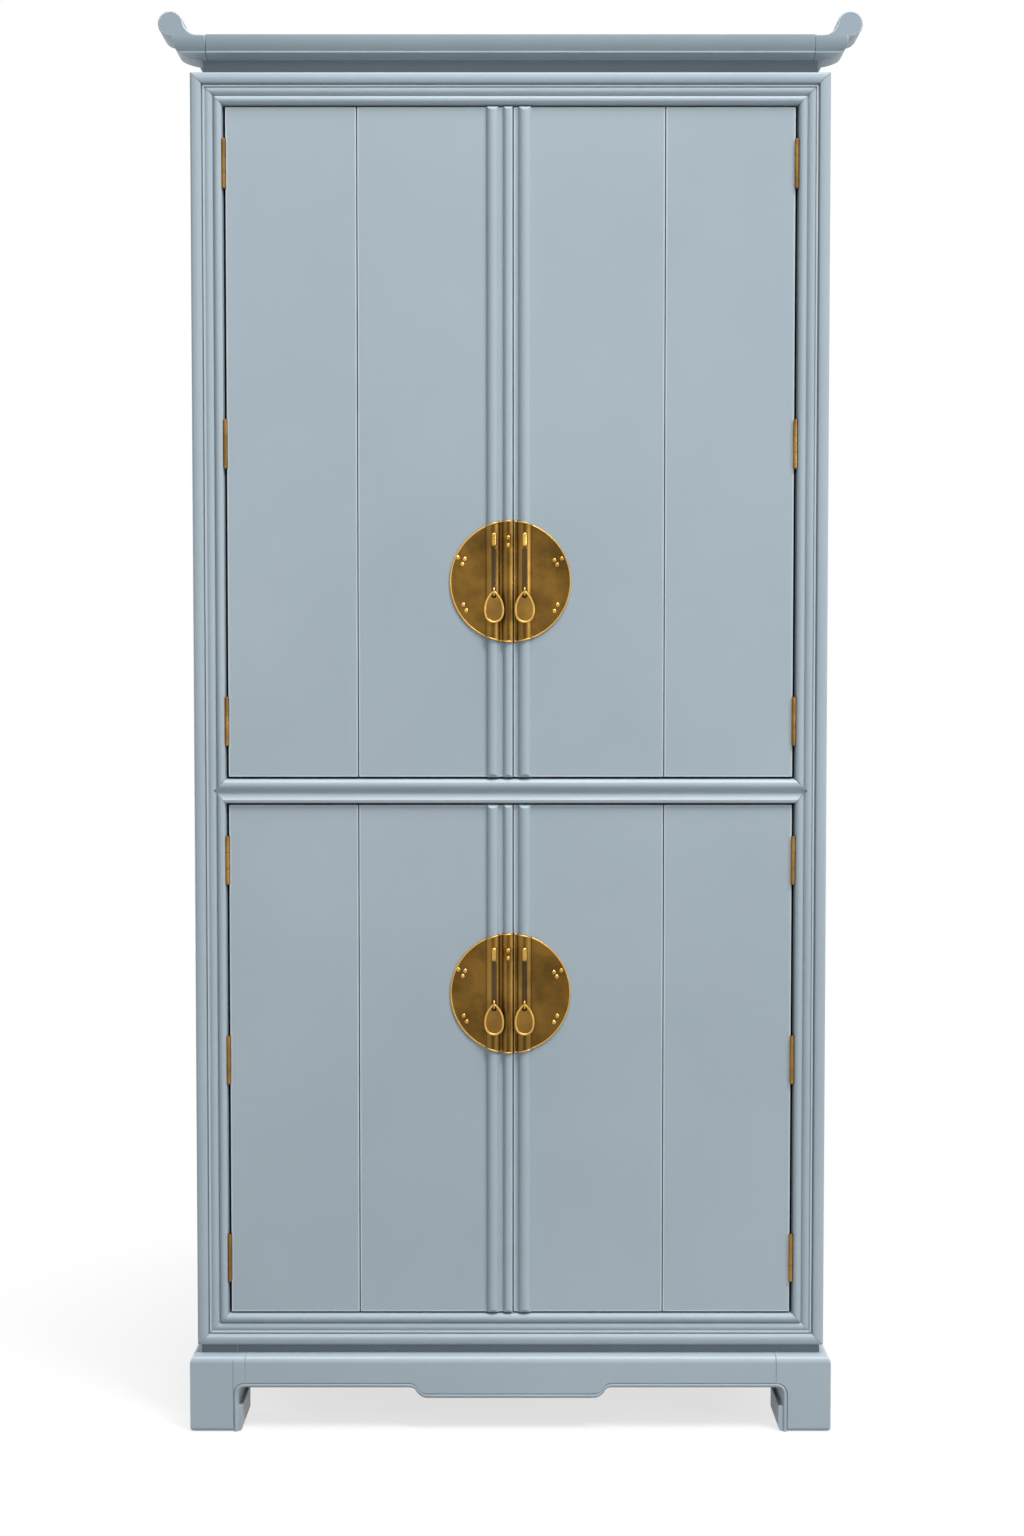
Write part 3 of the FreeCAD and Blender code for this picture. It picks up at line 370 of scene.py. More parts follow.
def oiled_wood(name, along):
    """Boards with the grain along one axis."""
    material, tree, shader = new_finish(name)
    where = add(tree, "TexCoord").outputs["Object"]
    grain = stretched_cloud(tree, where, along, GRAIN_ALONG, GRAIN_ACROSS, 8.0)
    pores = stretched_cloud(tree, where, along, PORES_ALONG, PORES_ACROSS, 4.0)
    tone = two_tone(tree, spread(tree, grain, 0.32, 0.68), WOOD_DARK, WOOD_PALE)
    tone = two_tone(tree, spread(tree, pores, 0.5, 0.75, 0.0, 0.45), tone, WOOD_DARK)
    feed(tree, shader.inputs["Base Color"], tone)
    feed(tree, shader.inputs["Roughness"], spread(tree, pores, 0.3, 0.7, WOOD_SATIN, WOOD_DULL))
    relief(tree, shader, pores, PORE_RELIEF, PORE_HIGH)
    return material


WOOD = {along: oiled_wood(f"oiled_wood_{along.lower()}", along) for along in "XYZ"}
print("wood finishes:", [material.name for material in WOOD.values()])

# %% [markdown]
# The brass is old: brown where it has tarnished, gold where hands and cloths have rubbed it.
# Two clouds of different size blend the tarnish, and the "edge" attribute brings back bright
# metal along every arris, partly as wear and partly as a painted highlight. The same recipe
# with other colours gives the hinge brass and the darker strap.

# %% Brass
BRIGHT_GOLD = (0.66, 0.40, 0.10)
BLOOM_SCALE, SPECK_SCALE = 19.0, 380.0
BLOOM_SHARE, SPECK_SHARE = 0.85, 0.15
SPECK_RELIEF, SPECK_HIGH = 0.10, 0.0003


def old_brass(name, clean, tarnished, shine, dull, bright=BRIGHT_GOLD):
    """Metal between a clean and a tarnished tone."""
    material, tree, shader = new_finish(name)
    where = add(tree, "TexCoord").outputs["Object"]
    bloom = cloud(tree, where, BLOOM_SCALE)
    speck = cloud(tree, where, SPECK_SCALE)
    age = both(tree, spread(tree, bloom, 0.38, 0.62, 0.0, BLOOM_SHARE),
               spread(tree, speck, 0.4, 0.7, 0.0, SPECK_SHARE), "ADD")
    tone = two_tone(tree, age, clean, tarnished)
    edge = add(tree, "Attribute", attribute_name="edge").outputs["Fac"]
    # Arrises turn bright gold: partly wear, partly painted highlight.
    worn_highlight = both(tree, edge, spread(tree, bloom, 0.3, 0.7, 1.0, 0.7))
    feed(tree, shader.inputs["Base Color"], two_tone(tree, worn_highlight, tone, bright))
    feed(tree, shader.inputs["Roughness"], spread(tree, age, 0.0, 1.0, shine, dull))
    relief(tree, shader, speck, SPECK_RELIEF, SPECK_HIGH)
    shader.inputs["Metallic"].default_value = 1.0
    return material


PLATE_BRASS = old_brass("plate_brass", (0.192, 0.102, 0.0212), (0.078, 0.0435, 0.0104),
                        0.34, 0.44)
PULL_BRASS = old_brass("pull_brass", (0.300, 0.162, 0.036), (0.180, 0.097, 0.022), 0.32, 0.42)
FITTING_BRASS = old_brass("fitting_brass", (0.62, 0.38, 0.10), (0.40, 0.23, 0.055), 0.18, 0.30)
STRAP_BRASS = old_brass("strap_brass", (0.085, 0.055, 0.026), (0.055, 0.036, 0.017), 0.34, 0.46,
                        (0.34, 0.20, 0.05))
HINGE_BRASS = old_brass("hinge_brass", (0.36, 0.195, 0.048), (0.18, 0.096, 0.026), 0.26, 0.40,
                        (0.42, 0.25, 0.08))
print("brass finishes: plate, pull, fitting, strap, hinge")

# %% [markdown]
# Modelling by operators needs a clean selection every time: an operator works on all that is
# selected, and loading the solid model leaves its pieces selected. These helpers select one
# piece, open it for editing with everything in it selected, and close it again with its faces
# pointing outward.

# %% Selecting and editing
def pick(*pieces):
    """Leaves only these pieces selected, the first one active."""
    if bpy.context.mode != "OBJECT":
        bpy.ops.object.mode_set(mode="OBJECT")
    bpy.ops.object.select_all(action="DESELECT")
    for piece in pieces:
        piece.select_set(True)
    if pieces:
        bpy.context.view_layer.objects.active = pieces[0]


def open_up(piece):
    """Edit mode with the whole mesh selected."""
    pick(piece)
    bpy.ops.object.mode_set(mode="EDIT")
    bpy.ops.mesh.select_mode(type="VERT")
    bpy.ops.mesh.select_all(action="SELECT")


def close_up():
    """Faces outward, and back to object mode."""
    bpy.ops.mesh.select_all(action="SELECT")
    bpy.ops.mesh.normals_make_consistent(inside=False)
    bpy.ops.object.mode_set(mode="OBJECT")


def call(piece, name):
    """Names a piece and its mesh."""
    piece.name = name
    piece.data.name = name
    return piece


pick()
print("selected now:", len(bpy.context.selected_objects))

# %% [markdown]
# Most pieces are a drawn outline carried straight through the wood, as a moulding plane or a
# saw would leave them. The path of an outline lists its corners, and each round stretch as a
# point it passes through and its end, so no curve has to be typed in point by point.

# %% Paths and arcs
ARC_STEPS = 10
SAME_SPOT = 1e-6


def arc(start, through, end):
    """Points along the circle through three points, without the first."""
    ax, ay = start
    bx, by = through[0] - ax, through[1] - ay
    cx, cy = end[0] - ax, end[1] - ay
    twice = 2 * (bx * cy - by * cx)
    ux = (cy * (bx * bx + by * by) - by * (cx * cx + cy * cy)) / twice
    uy = (bx * (cx * cx + cy * cy) - cx * (bx * bx + by * by)) / twice
    first = math.atan2(-uy, -ux)
    full = 2 * math.pi
    sweep = (math.atan2(cy - uy, cx - ux) - first) % full
    if (math.atan2(by - uy, bx - ux) - first) % full > sweep:
        sweep -= full
    radius = math.hypot(ux, uy)
    turns = [first + sweep * n / ARC_STEPS for n in range(1, ARC_STEPS + 1)]
    return [(ax + ux + radius * math.cos(turn), ay + uy + radius * math.sin(turn))
            for turn in turns]


def trace(path):
    """A path of corners and (through, end) arcs as plain points."""
    points = [path[0]]
    for step in path[1:]:
        if isinstance(step[0], tuple):
            points += arc(points[-1], *step)
        elif math.dist(points[-1], step) > SAME_SPOT:
            points.append(step)
    if math.dist(points[0], points[-1]) < SAME_SPOT:
        points.pop()
    return points


print("every arc in", ARC_STEPS, "steps")

# %% [markdown]
# The outline is then drawn as by hand: one vertex, extruded from point to point, and filled with
# a face. Another extrusion carries that face straight through the wood.

# %% Drawing outlines
def draw(name, points, filled=True):
    """A line drawn from vertex to vertex, filled with a face if wanted."""
    pick()
    bpy.ops.mesh.primitive_plane_add(size=MM)
    piece = call(bpy.context.object, name)
    open_up(piece)
    bpy.ops.mesh.merge(type="CENTER")
    bpy.ops.transform.translate(value=points[0])
    for here, there in zip(points, points[1:]):
        bpy.ops.mesh.extrude_vertices_move(TRANSFORM_OT_translate={"value": there - here})
    bpy.ops.mesh.select_all(action="SELECT")
    if filled:
        bpy.ops.mesh.edge_face_add()
    bpy.ops.object.mode_set(mode="OBJECT")
    return piece


def carry(piece, way):
    """Extrudes a drawn outline along a straight way."""
    open_up(piece)
    bpy.ops.mesh.extrude_region_move(TRANSFORM_OT_translate={"value": way})
    close_up()
    return piece


print("outlines can be drawn and carried")

# %% [markdown]
# Three views cover every outline: from the front, in plan and from the side. Each draws the
# path in that view and carries it through the third direction.

# %% Outlines in three views
def front_cut(name, path, depths):
    """A front-view outline of (x, z), carried through a depth."""
    points = [place(x, depths[0], z) for x, z in trace(path)]
    return carry(draw(name, points), (0, (depths[1] - depths[0]) * MM, 0))


def plan_cut(name, path, heights):
    """A plan outline of (x, depth), carried upward."""
    points = [place(x, depth, heights[0]) for x, depth in trace(path)]
    return carry(draw(name, points), (0, 0, (heights[1] - heights[0]) * MM))


def side_cut(name, path, across):
    """A side-view outline of (depth, z), carried across."""
    points = [place(across[0], depth, z) for depth, z in trace(path)]
    return carry(draw(name, points), ((across[1] - across[0]) * MM, 0, 0))


def moved(path, move):
    """A path with every point moved."""
    return [tuple(move(*point) for point in step) if isinstance(step[0], tuple) else move(*step)
            for step in path]


def swap(path):
    """The two coordinates of a path exchanged."""
    return moved(path, lambda a, b: (b, a))


print("front, plan and side cuts ready")

# %% [markdown]
# Boards and round bars are the plainest pieces. A board is a cube scaled to size, and a bar is a
# cylinder turned to point from one place to another. Their scale is applied at once, so that
# later rounding comes out even on all sides.

# %% Boards and bars
def board(name, x, depth, z):
    """A plain block between pairs of limits."""
    low, high = place(x[0], depth[0], z[0]), place(x[1], depth[1], z[1])
    pick()
    size = [abs(side) for side in high - low]
    bpy.ops.mesh.primitive_cube_add(size=1, location=(low + high) / 2, scale=size)
    bpy.ops.object.transform_apply(location=True, rotation=True, scale=True)
    return call(bpy.context.object, name)


def rod(name, radius, start, end, sides=48):
    """A round bar between two places."""
    start, end = place(*start), place(*end)
    turn = (end - start).to_track_quat("Z", "Y").to_euler()
    pick()
    bpy.ops.mesh.primitive_cylinder_add(vertices=sides, radius=radius * MM,
                                        depth=(end - start).length,
                                        location=(start + end) / 2, rotation=turn)
    bpy.ops.object.transform_apply(location=True, rotation=True, scale=True)
    return call(bpy.context.object, name)


print("boards and bars ready")

# %% [markdown]
# Saw cuts are bisects that close the cut face. Notches and holes are Boolean modifiers, applied
# at once so that the piece stays plain mesh.

# %% Sawing and boring
def saw(piece, point, toward):
    """Cuts away all that lies beyond a plane, and closes the cut."""
    open_up(piece)
    bpy.ops.mesh.bisect(plane_co=point, plane_no=toward, use_fill=True, clear_outer=True)
    close_up()


def carve(piece, *cutters, operation="DIFFERENCE"):
    """Boolean cuts, applied one after the other."""
    for cutter in cutters:
        pick(piece)
        bpy.ops.object.modifier_add(type="BOOLEAN")
        tool = piece.modifiers[-1]
        tool.operation = operation
        tool.object = cutter
        bpy.ops.object.modifier_apply(modifier=tool.name)
        bpy.data.objects.remove(cutter)
    return piece


print("saw and bore ready")

# %% [markdown]
# Loose pieces that stay together are joined to one object. What is needed twice is copied, and
# what has a left and a right is made once and turned over. The scale of -1 turns its faces inside
# out, which closing it up puts right.

# %% Joining and copying
def join(name, pieces):
    """Several loose pieces as one object."""
    pick(*pieces)
    if len(pieces) > 1:
        bpy.ops.object.join()
    return call(bpy.context.object, name)


def copied(piece, name, move=(0, 0, 0), turned_over=False):
    """A copy with its own mesh, moved or turned over to the other side of the cabinet."""
    pick(piece)
    bpy.ops.object.duplicate()
    twin = call(bpy.context.object, name)
    open_up(twin)
    if turned_over:
        bpy.ops.transform.resize(value=(-1, 1, 1), center_override=(0, 0, 0))
    else:
        bpy.ops.transform.translate(value=move)
    close_up()
    return twin


print("join and copy ready")

# %% [markdown]
# Nothing a joiner makes has a perfectly sharp edge. A Bevel modifier rounds every edge that is
# steeper than an angle, and its new faces are told apart by a second, empty material slot. They
# could be painted by hand as worn, but marking them in code puts the pale paint, partly wear and
# partly painted highlight, on every arris alike.

# %% Softening, wear and painted highlights
SHARP = 40


def mark_wear_and_highlight(piece, amount, chosen):
    """Marks the chosen faces as more or less pale, as wear and painted highlight."""
    mesh = piece.data
    marks = mesh.attributes.get("edge") or mesh.attributes.new("edge", "FLOAT", "FACE")
    for face, mark in zip(mesh.polygons, marks.data):
        if chosen(face):
            mark.value = max(mark.value, amount)
    return piece


def soften(piece, width, segments=2, steeper=SHARP, wear_and_highlight=1.0):
    """Rounds the sharp edges and marks the new faces as pale, as wear and painted highlight."""
    pick(piece)
    mesh = piece.data
    mesh.materials.clear()
    mesh.materials.append(None)
    mesh.materials.append(None)
    bpy.ops.object.modifier_add(type="BEVEL")
    plane = piece.modifiers[-1]
    plane.width = width * MM
    plane.segments = segments
    plane.angle_limit = math.radians(steeper)
    plane.material = 1
    bpy.ops.object.modifier_apply(modifier=plane.name)
    mark_wear_and_highlight(piece, wear_and_highlight, lambda face: face.material_index == 1)
    for face in mesh.polygons:
        face.material_index = 0
    return piece


print("edges over", SHARP, "degrees get rounded")

# %% [markdown]
# A finished piece is shaded smooth over its rounds, and weighted normals keep the wide faces
# flat. It then gets its finish and is tied to the part of the cabinet it moves with. Some faces
# of a piece, such as the inner side of a painted plank, have a finish of their own.

# %% Settling pieces
SMOOTH_UNDER = math.radians(38)
SQUARE_ON = 0.95
ANY_DEPTH = -1000.0


def shade(piece):
    """Smooth rounds and flat wide faces."""
    pick(piece)
    bpy.ops.object.shade_smooth_by_angle(angle=SMOOTH_UNDER)
    bpy.ops.object.modifier_add(type="WEIGHTED_NORMAL")
    piece.modifiers[-1].keep_sharp = True
    bpy.ops.object.modifier_apply(modifier=piece.modifiers[-1].name)


def settle(piece, body, slot, finish, *nodes):
    """Shades a piece and gives it its finish and its place in the model."""
    shade(piece)
    piece.data.materials.clear()
    piece.data.materials.append(finish)
    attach(piece, body)
    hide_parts(*nodes)
    print(piece.name, len(piece.data.polygons), "faces")


def refinish(piece, finish, chosen):
    """Gives the chosen faces a finish of their own."""
    piece.data.materials.append(finish)
    for face in piece.data.polygons:
        if chosen(face):
            face.material_index = len(piece.data.materials) - 1


def face_inward(piece, normal, finish, from_depth=ANY_DEPTH):
    """Gives the faces that look one way, and lie deep enough, another finish."""
    toward, near = Vector(normal), place(0, from_depth, 0).y
    refinish(piece, finish,
             lambda face: face.normal.dot(toward) > SQUARE_ON and face.center.y > near)


print("rounds under", round(math.degrees(SMOOTH_UNDER)), "degrees are shaded smooth")

# %% [markdown]
# The carcass behind the face frame is a plain box of boards: two planks for each side, five
# upright boards at the back, and more boards between them. They could be one hollow box, but
# separate boards show their seams. The sides are painted outside and plain wood inside.

# %% Sides and back
HALF = 470.0
FLOOR_Z, TOP_Z = 128.0, 2016.0
FRAME_THICK = 38.0
INSIDE = 450.0
BACK_FACE, BACK_REAR = 488.0, 500.0
SEAM_DEPTH = (FRAME_THICK + BACK_FACE) / 2
BACK_BOARDS = 5
EASED = 0.9

planks = [board("plank", (-HALF, -INSIDE), depth, (FLOOR_Z, TOP_Z))
          for depth in ((FRAME_THICK, SEAM_DEPTH), (SEAM_DEPTH, BACK_FACE))]
side_left = join("side_left_boards", planks)
side_right = copied(side_left, "side_right_boards", turned_over=True)
for piece, side, way in ((side_left, "left", 1), (side_right, "right", -1)):
    settle(soften(piece, EASED), "cabinet", "paint", PAINT["Z"], f"side_planks_{side}")
    face_inward(piece, (way, 0, 0), WOOD["Z"])

step = 2 * HALF / BACK_BOARDS
back = [board("plank", (-HALF + step * n, -HALF + step * (n + 1)), (BACK_FACE, BACK_REAR),
              (FLOOR_Z, TOP_Z)) for n in range(BACK_BOARDS)]
settle(soften(join("back_panel_boards", back), EASED), "cabinet", "interior_wood", WOOD["Z"],
       "back_boards")

# %% [markdown]
# Inside are a floor, a middle and a top board, and three loose shelves on cleats at the sides.
# Each is a block with eased edges. The shelves stay separate pieces of wood, so that one could
# be lifted out.

# %% Boards, shelves and cleats
BOARD_THICK = 18.0
BOARDS_Z = (150.0, 952.0, 1977.0)
SHELVES_Z = (551.0, 1293.7, 1635.3)
SHELF_HALF, SHELF_FRONT, SHELF_EASED = 449.5, 60.0, 1.5
CLEAT, CLEAT_FRONT, CLEAT_REAR = 20.0, 70.0, 480.0

boards = [board("plank", (-INSIDE, INSIDE), (FRAME_THICK, BACK_FACE), (z, z + BOARD_THICK))
          for z in BOARDS_Z]
settle(soften(join("carcass_floor_boards", boards), EASED), "cabinet", "interior_wood",
       WOOD["X"], "carcass_boards")
loose = [board("plank", (-SHELF_HALF, SHELF_HALF), (SHELF_FRONT, BACK_FACE),
               (z, z + BOARD_THICK)) for z in SHELVES_Z]
settle(soften(join("loose_shelves", loose), SHELF_EASED, 3), "cabinet", "interior_wood",
       WOOD["X"], "shelves")
cleats = [board("cleat", sorted((way * INSIDE, way * (INSIDE - CLEAT))),
                (CLEAT_FRONT, CLEAT_REAR), (z - CLEAT, z))
          for z in SHELVES_Z for way in (-1, 1)]
settle(soften(join("shelf_cleat_strips", cleats), EASED), "cabinet", "interior_wood", WOOD["Y"],
       "shelf_cleats")

# %% [markdown]
# Small blocks behind the frame stop the doors flush. Each is an L in side view: a lip that
# laps the door, and a foot on the board behind the rail. One outline with six corners makes it
# in one go.

# %% Door stops
OPEN_LOW, OPEN_HIGH = 175.5, 1968.5
MID_Z, MID_HALF = 961.5, 18.5
STOP_FRONT, STOP_BACK, STOP_LAP, STOP_HALF = 28.5, 47.0, 14.0, 60.0
SEATS = ((OPEN_LOW, 1, BOARDS_Z[0] + BOARD_THICK), (MID_Z - MID_HALF, -1, BOARDS_Z[1]),
         (MID_Z + MID_HALF, 1, BOARDS_Z[1] + BOARD_THICK), (OPEN_HIGH, -1, BOARDS_Z[2]))

stops = []
for edge, way, seat in SEATS:
    lip = edge + way * STOP_LAP
    stops.append(side_cut("stop", [(STOP_FRONT, edge), (STOP_FRONT, lip), (STOP_BACK, lip),
                                   (STOP_BACK, seat), (FRAME_THICK, seat), (FRAME_THICK, edge)],
                          (-STOP_HALF, STOP_HALF)))
settle(soften(join("door_stop_blocks", stops), EASED), "cabinet", "interior_wood", WOOD["X"],
       "door_stops")

# %% [markdown]
# The face frame is one moulding all round: a broad outer bead, a groove, a thin fillet, and two
# more beads beside the doors. Its section is drawn once from those widths. Bisects saw the
# corners at 45 degrees, each a hair short so that the mitre shows as a fine line. Whole strips
# are painted pale by their place across the moulding, as painted highlights where the light
# catches the fillet and the shoulders of the beads.

# %% Frame section
FRAME_WIDE = 47.5
OPEN_HALF = HALF - FRAME_WIDE
SHY = 0.2
OUTER_BEAD = [(0, 5.0), ((1.8, 1.9), (5.0, 0.6)), ((9.4, 0.0), (13.9, 0.7)),
              ((15.7, 1.6), (16.4, 3.6))]
FILLET = [(17.7, 6.8), (18.4, 3.3), (20.7, 3.3), (21.5, 5.1)]
MIDDLE_BEAD = [((26.0, 3.6), (33.4, 7.7))]
INNER_BEAD = [((41.6, 2.2), (46.3, 6.8)), (46.5, 9.5)]
OPEN_EDGE = 12.5
FRAME_EASED, FRAME_WEAR_HIGHLIGHT, ARRIS_HIGHLIGHT = 0.3, 0.5, 0.8
FILLET_FACE, SHOULDER = (18.2, 20.9), (12.4, 15.0)


def frame_section(across):
    """The moulding as (place across, depth), from its outer edge to the opening."""
    path = [(0, FRAME_THICK)] + OUTER_BEAD + FILLET + MIDDLE_BEAD + INNER_BEAD + [
        (FRAME_WIDE, OPEN_EDGE), (FRAME_WIDE, FRAME_THICK)]
    return moved(path, lambda u, t: (across(u), t))


def mitre(piece, x, z, toward_x, toward_z):
    """Saws a corner at 45 degrees through (x, z)."""
    toward = Vector((toward_x, 0, toward_z)).normalized()
    saw(piece, place(x, 0, z) - toward * SHY * MM, toward)


def highlight_strip(piece, across, strip):
    """Paints a highlight on the faces that lie between two places across a piece."""
    mark_wear_and_highlight(piece, ARRIS_HIGHLIGHT, lambda face: strip[0] < across(face.center / MM) < strip[1])


print("section points:", len(trace(frame_section(lambda u: u))))

# %% [markdown]
# A stile carries the section up from the floor of the carcass to its top. A wedge is cut out of
# it where the middle rail's pointed end fits in, and round bars hollow it where the hinges sit.
# Cutters stand out past the wood a little, so that they cut right through. The right stile is
# the left one turned over.

# %% Stiles
HINGE_X, HINGE_DEPTH, NOTCH_R = 421.0, 6.0, 3.6
HINGE_HALF, CAP_HIGH = 35.0, 1.2
DOOR_SPAN = {"upper": (982.0, 1967.0), "lower": (177.0, 941.0)}
HINGE_INSET, NOTCH_ROOM = 83.0, 0.8
KEY_REACH, KEY_ROOM = 9.0, SHY * 1.5
# Deeper in than this, the walls of the openings are painted nearly black as painted shadow.
GAP_SHADE_FROM = 9.0
SPARE = 5.0


def hinge_heights(tier):
    """The middles of the three hinges on one door."""
    low, high = DOOR_SPAN[tier]
    return (low + HINGE_INSET, (low + high) / 2, high - HINGE_INSET)


def notches(x, tiers):
    """Round bars where the hinge barrels sit, as one cutter."""
    reach = HINGE_HALF + CAP_HIGH + NOTCH_ROOM
    bars = [rod("bar", NOTCH_R, (x, HINGE_DEPTH, z - reach), (x, HINGE_DEPTH, z + reach), 32)
            for tier in tiers for z in hinge_heights(tier)]
    return join("notch_bars", bars)


stile = plan_cut("frame_stile_left", frame_section(lambda u: u - HALF), (FLOOR_Z, TOP_Z))
mitre(stile, -HALF, TOP_Z, 1, 1)
mitre(stile, -HALF, FLOOR_Z, 1, -1)
key, key_x = MID_HALF + KEY_ROOM, KEY_REACH - OPEN_HALF
carve(stile, front_cut("key", [(-OPEN_HALF - key, MID_Z), (key_x, MID_Z - key - KEY_REACH),
                               (key_x, MID_Z + key + KEY_REACH)], (-SPARE, FRAME_THICK + SPARE)),
      notches(-HINGE_X, DOOR_SPAN))
stile_right = copied(stile, "frame_stile_right", turned_over=True)
for piece, side, way in ((stile, "left", 1), (stile_right, "right", -1)):
    settle(soften(piece, FRAME_EASED, wear_and_highlight=FRAME_WEAR_HIGHLIGHT), "cabinet", "paint", PAINT["Z"],
           f"stile_{side}")
    # A painted highlight runs along the fillet.
    highlight_strip(piece, lambda at: HALF + way * at[0], FILLET_FACE)
    # The inner walls of the stile are painted darker, as painted shade.
    face_inward(piece, (way, 0, 0), PAINTED_SHADE)
    # Deeper in, the walls are painted nearly black, as painted shadow.
    face_inward(piece, (way, 0, 0), GAP_SHADE, GAP_SHADE_FROM)

# %% [markdown]
# The top and bottom rails carry the same section across. The middle rail has one of its own, a
# bead above and a cove below, drawn from its middle line up and down. Its ends are pointed to
# fit the wedges in the stiles.

# %% Rails
MID_BEAD = [(0.0, 7.8), ((10.5, 2.4), (17.0, 6.8)), (17.3, 9.5), (MID_HALF, OPEN_EDGE),
            (MID_HALF, FRAME_THICK)]
MID_COVE = [(MID_HALF, FRAME_THICK), (MID_HALF, OPEN_EDGE), (17.6, 7.0),
            ((17.3, 3.3), (16.2, 2.7)), (13.6, 2.4), ((12.4, 2.7), (11.6, 3.6)),
            ((7.0, 6.7), (0.0, 7.8))]
MID_ARRIS = (11.5, 13.8)


def beside_middle(path, way):
    """Points given as (distance from the rail's middle, depth), above or below it."""
    return [(t, MID_Z + way * d) for d, t in trace(path)]


rail_top = side_cut("frame_rail_top", swap(frame_section(lambda u: TOP_Z - u)), (-HALF, HALF))
rail_low = side_cut("frame_rail_low", swap(frame_section(lambda u: FLOOR_Z + u)), (-HALF, HALF))
rail_mid = side_cut("frame_rail_mid", beside_middle(MID_COVE, -1) + beside_middle(MID_BEAD, 1)[1:],
                    (-HALF, HALF))
for way in (-1, 1):
    mitre(rail_top, way * HALF, TOP_Z, way, -1)
    mitre(rail_low, way * HALF, FLOOR_Z, way, 1)
    for rise in (-1, 1):
        mitre(rail_mid, way * (OPEN_HALF + MID_HALF), MID_Z, way, rise)
for piece, node in ((rail_top, "rail_top"), (rail_low, "rail_bottom"), (rail_mid, "rail_middle")):
    settle(soften(piece, FRAME_EASED, wear_and_highlight=FRAME_WEAR_HIGHLIGHT), "cabinet", "paint", PAINT["X"], node)
# Painted highlights run along the fillets, shoulders and arrises of the rails.
highlight_strip(rail_top, lambda at: TOP_Z - at[2], FILLET_FACE)
highlight_strip(rail_low, lambda at: at[2] - FLOOR_Z, FILLET_FACE)
highlight_strip(rail_low, lambda at: at[2] - FLOOR_Z, SHOULDER)
highlight_strip(rail_mid, lambda at: at[2] - MID_Z, SHOULDER)
highlight_strip(rail_mid, lambda at: MID_Z - at[2], MID_ARRIS)
# The rails' walls deep in the openings are painted nearly black, as painted shadow.
for piece, way in ((rail_top, -1), (rail_low, 1), (rail_mid, -1), (rail_mid, 1)):
    face_inward(piece, (0, 0, way), GAP_SHADE, GAP_SHADE_FROM)

# %% [markdown]
# A thin pale line runs round every plank of the doors, a painted highlight along its edges. An
# inset makes a narrow border round the front faces, and that border is painted pale.

# %% Highlighted borders
DOOR_FACE, DOOR_BACK = 8.0, 28.0
BORDER_WIDE, BORDER_DEPTH = 1.7, DOOR_FACE + 1
FACING = -0.99


def at_front_of_door(face):
    """Whether a face is part of the door's front."""
    return face.normal.y < FACING and face.center.y < place(0, BORDER_DEPTH, 0).y


def highlight_border(piece):
    """Insets the front faces and paints a highlight on the narrow border round them."""
    pick(piece)
    bpy.context.tool_settings.mesh_select_mode = (False, False, True)
    for face in piece.data.polygons:
        face.select = at_front_of_door(face)
    bpy.ops.object.mode_set(mode="EDIT")
    bpy.ops.mesh.inset(thickness=BORDER_WIDE * MM, depth=0)
    bpy.ops.object.mode_set(mode="OBJECT")
    bpy.context.tool_settings.mesh_select_mode = (True, False, False)
    mark_wear_and_highlight(piece, 1.0, lambda face: at_front_of_door(face) and not face.select)


print("borders are", BORDER_WIDE, "mm wide")

# %% [markdown]
# Every door is two wide planks side by side, held by battens across the back. The planks lap
# like a stair, so the seam is a narrow dark line that never lets light through. The hinge edge
# is hollowed for the barrels.

# %% Door planks
DOOR_EDGE = 419.5
WAY = {"left": -1, "right": 1}
MEET = {"left": 3.25, "right": 4.75}
SEAM = {"left": -226.0, "right": 228.0}
SEAM_LAP, SEAM_GAP, LAP_ROOM = 6.0, 1.5, 0.3
DOOR_EASED, DOOR_TRIM = 1.5, 0.5
BATTEN_DEEP, BATTEN_HIGH, BATTEN_INSET, BATTEN_EASED = 18.0, 70.0, 95.0, 2.5
BATTENS = {"upper": 3, "lower": 2}
BATTEN_ENDS = {"left": (-389.5, -50.0), "right": (54.75, 389.5)}
DOORS = [(tier, side) for tier in DOOR_SPAN for side in MEET]

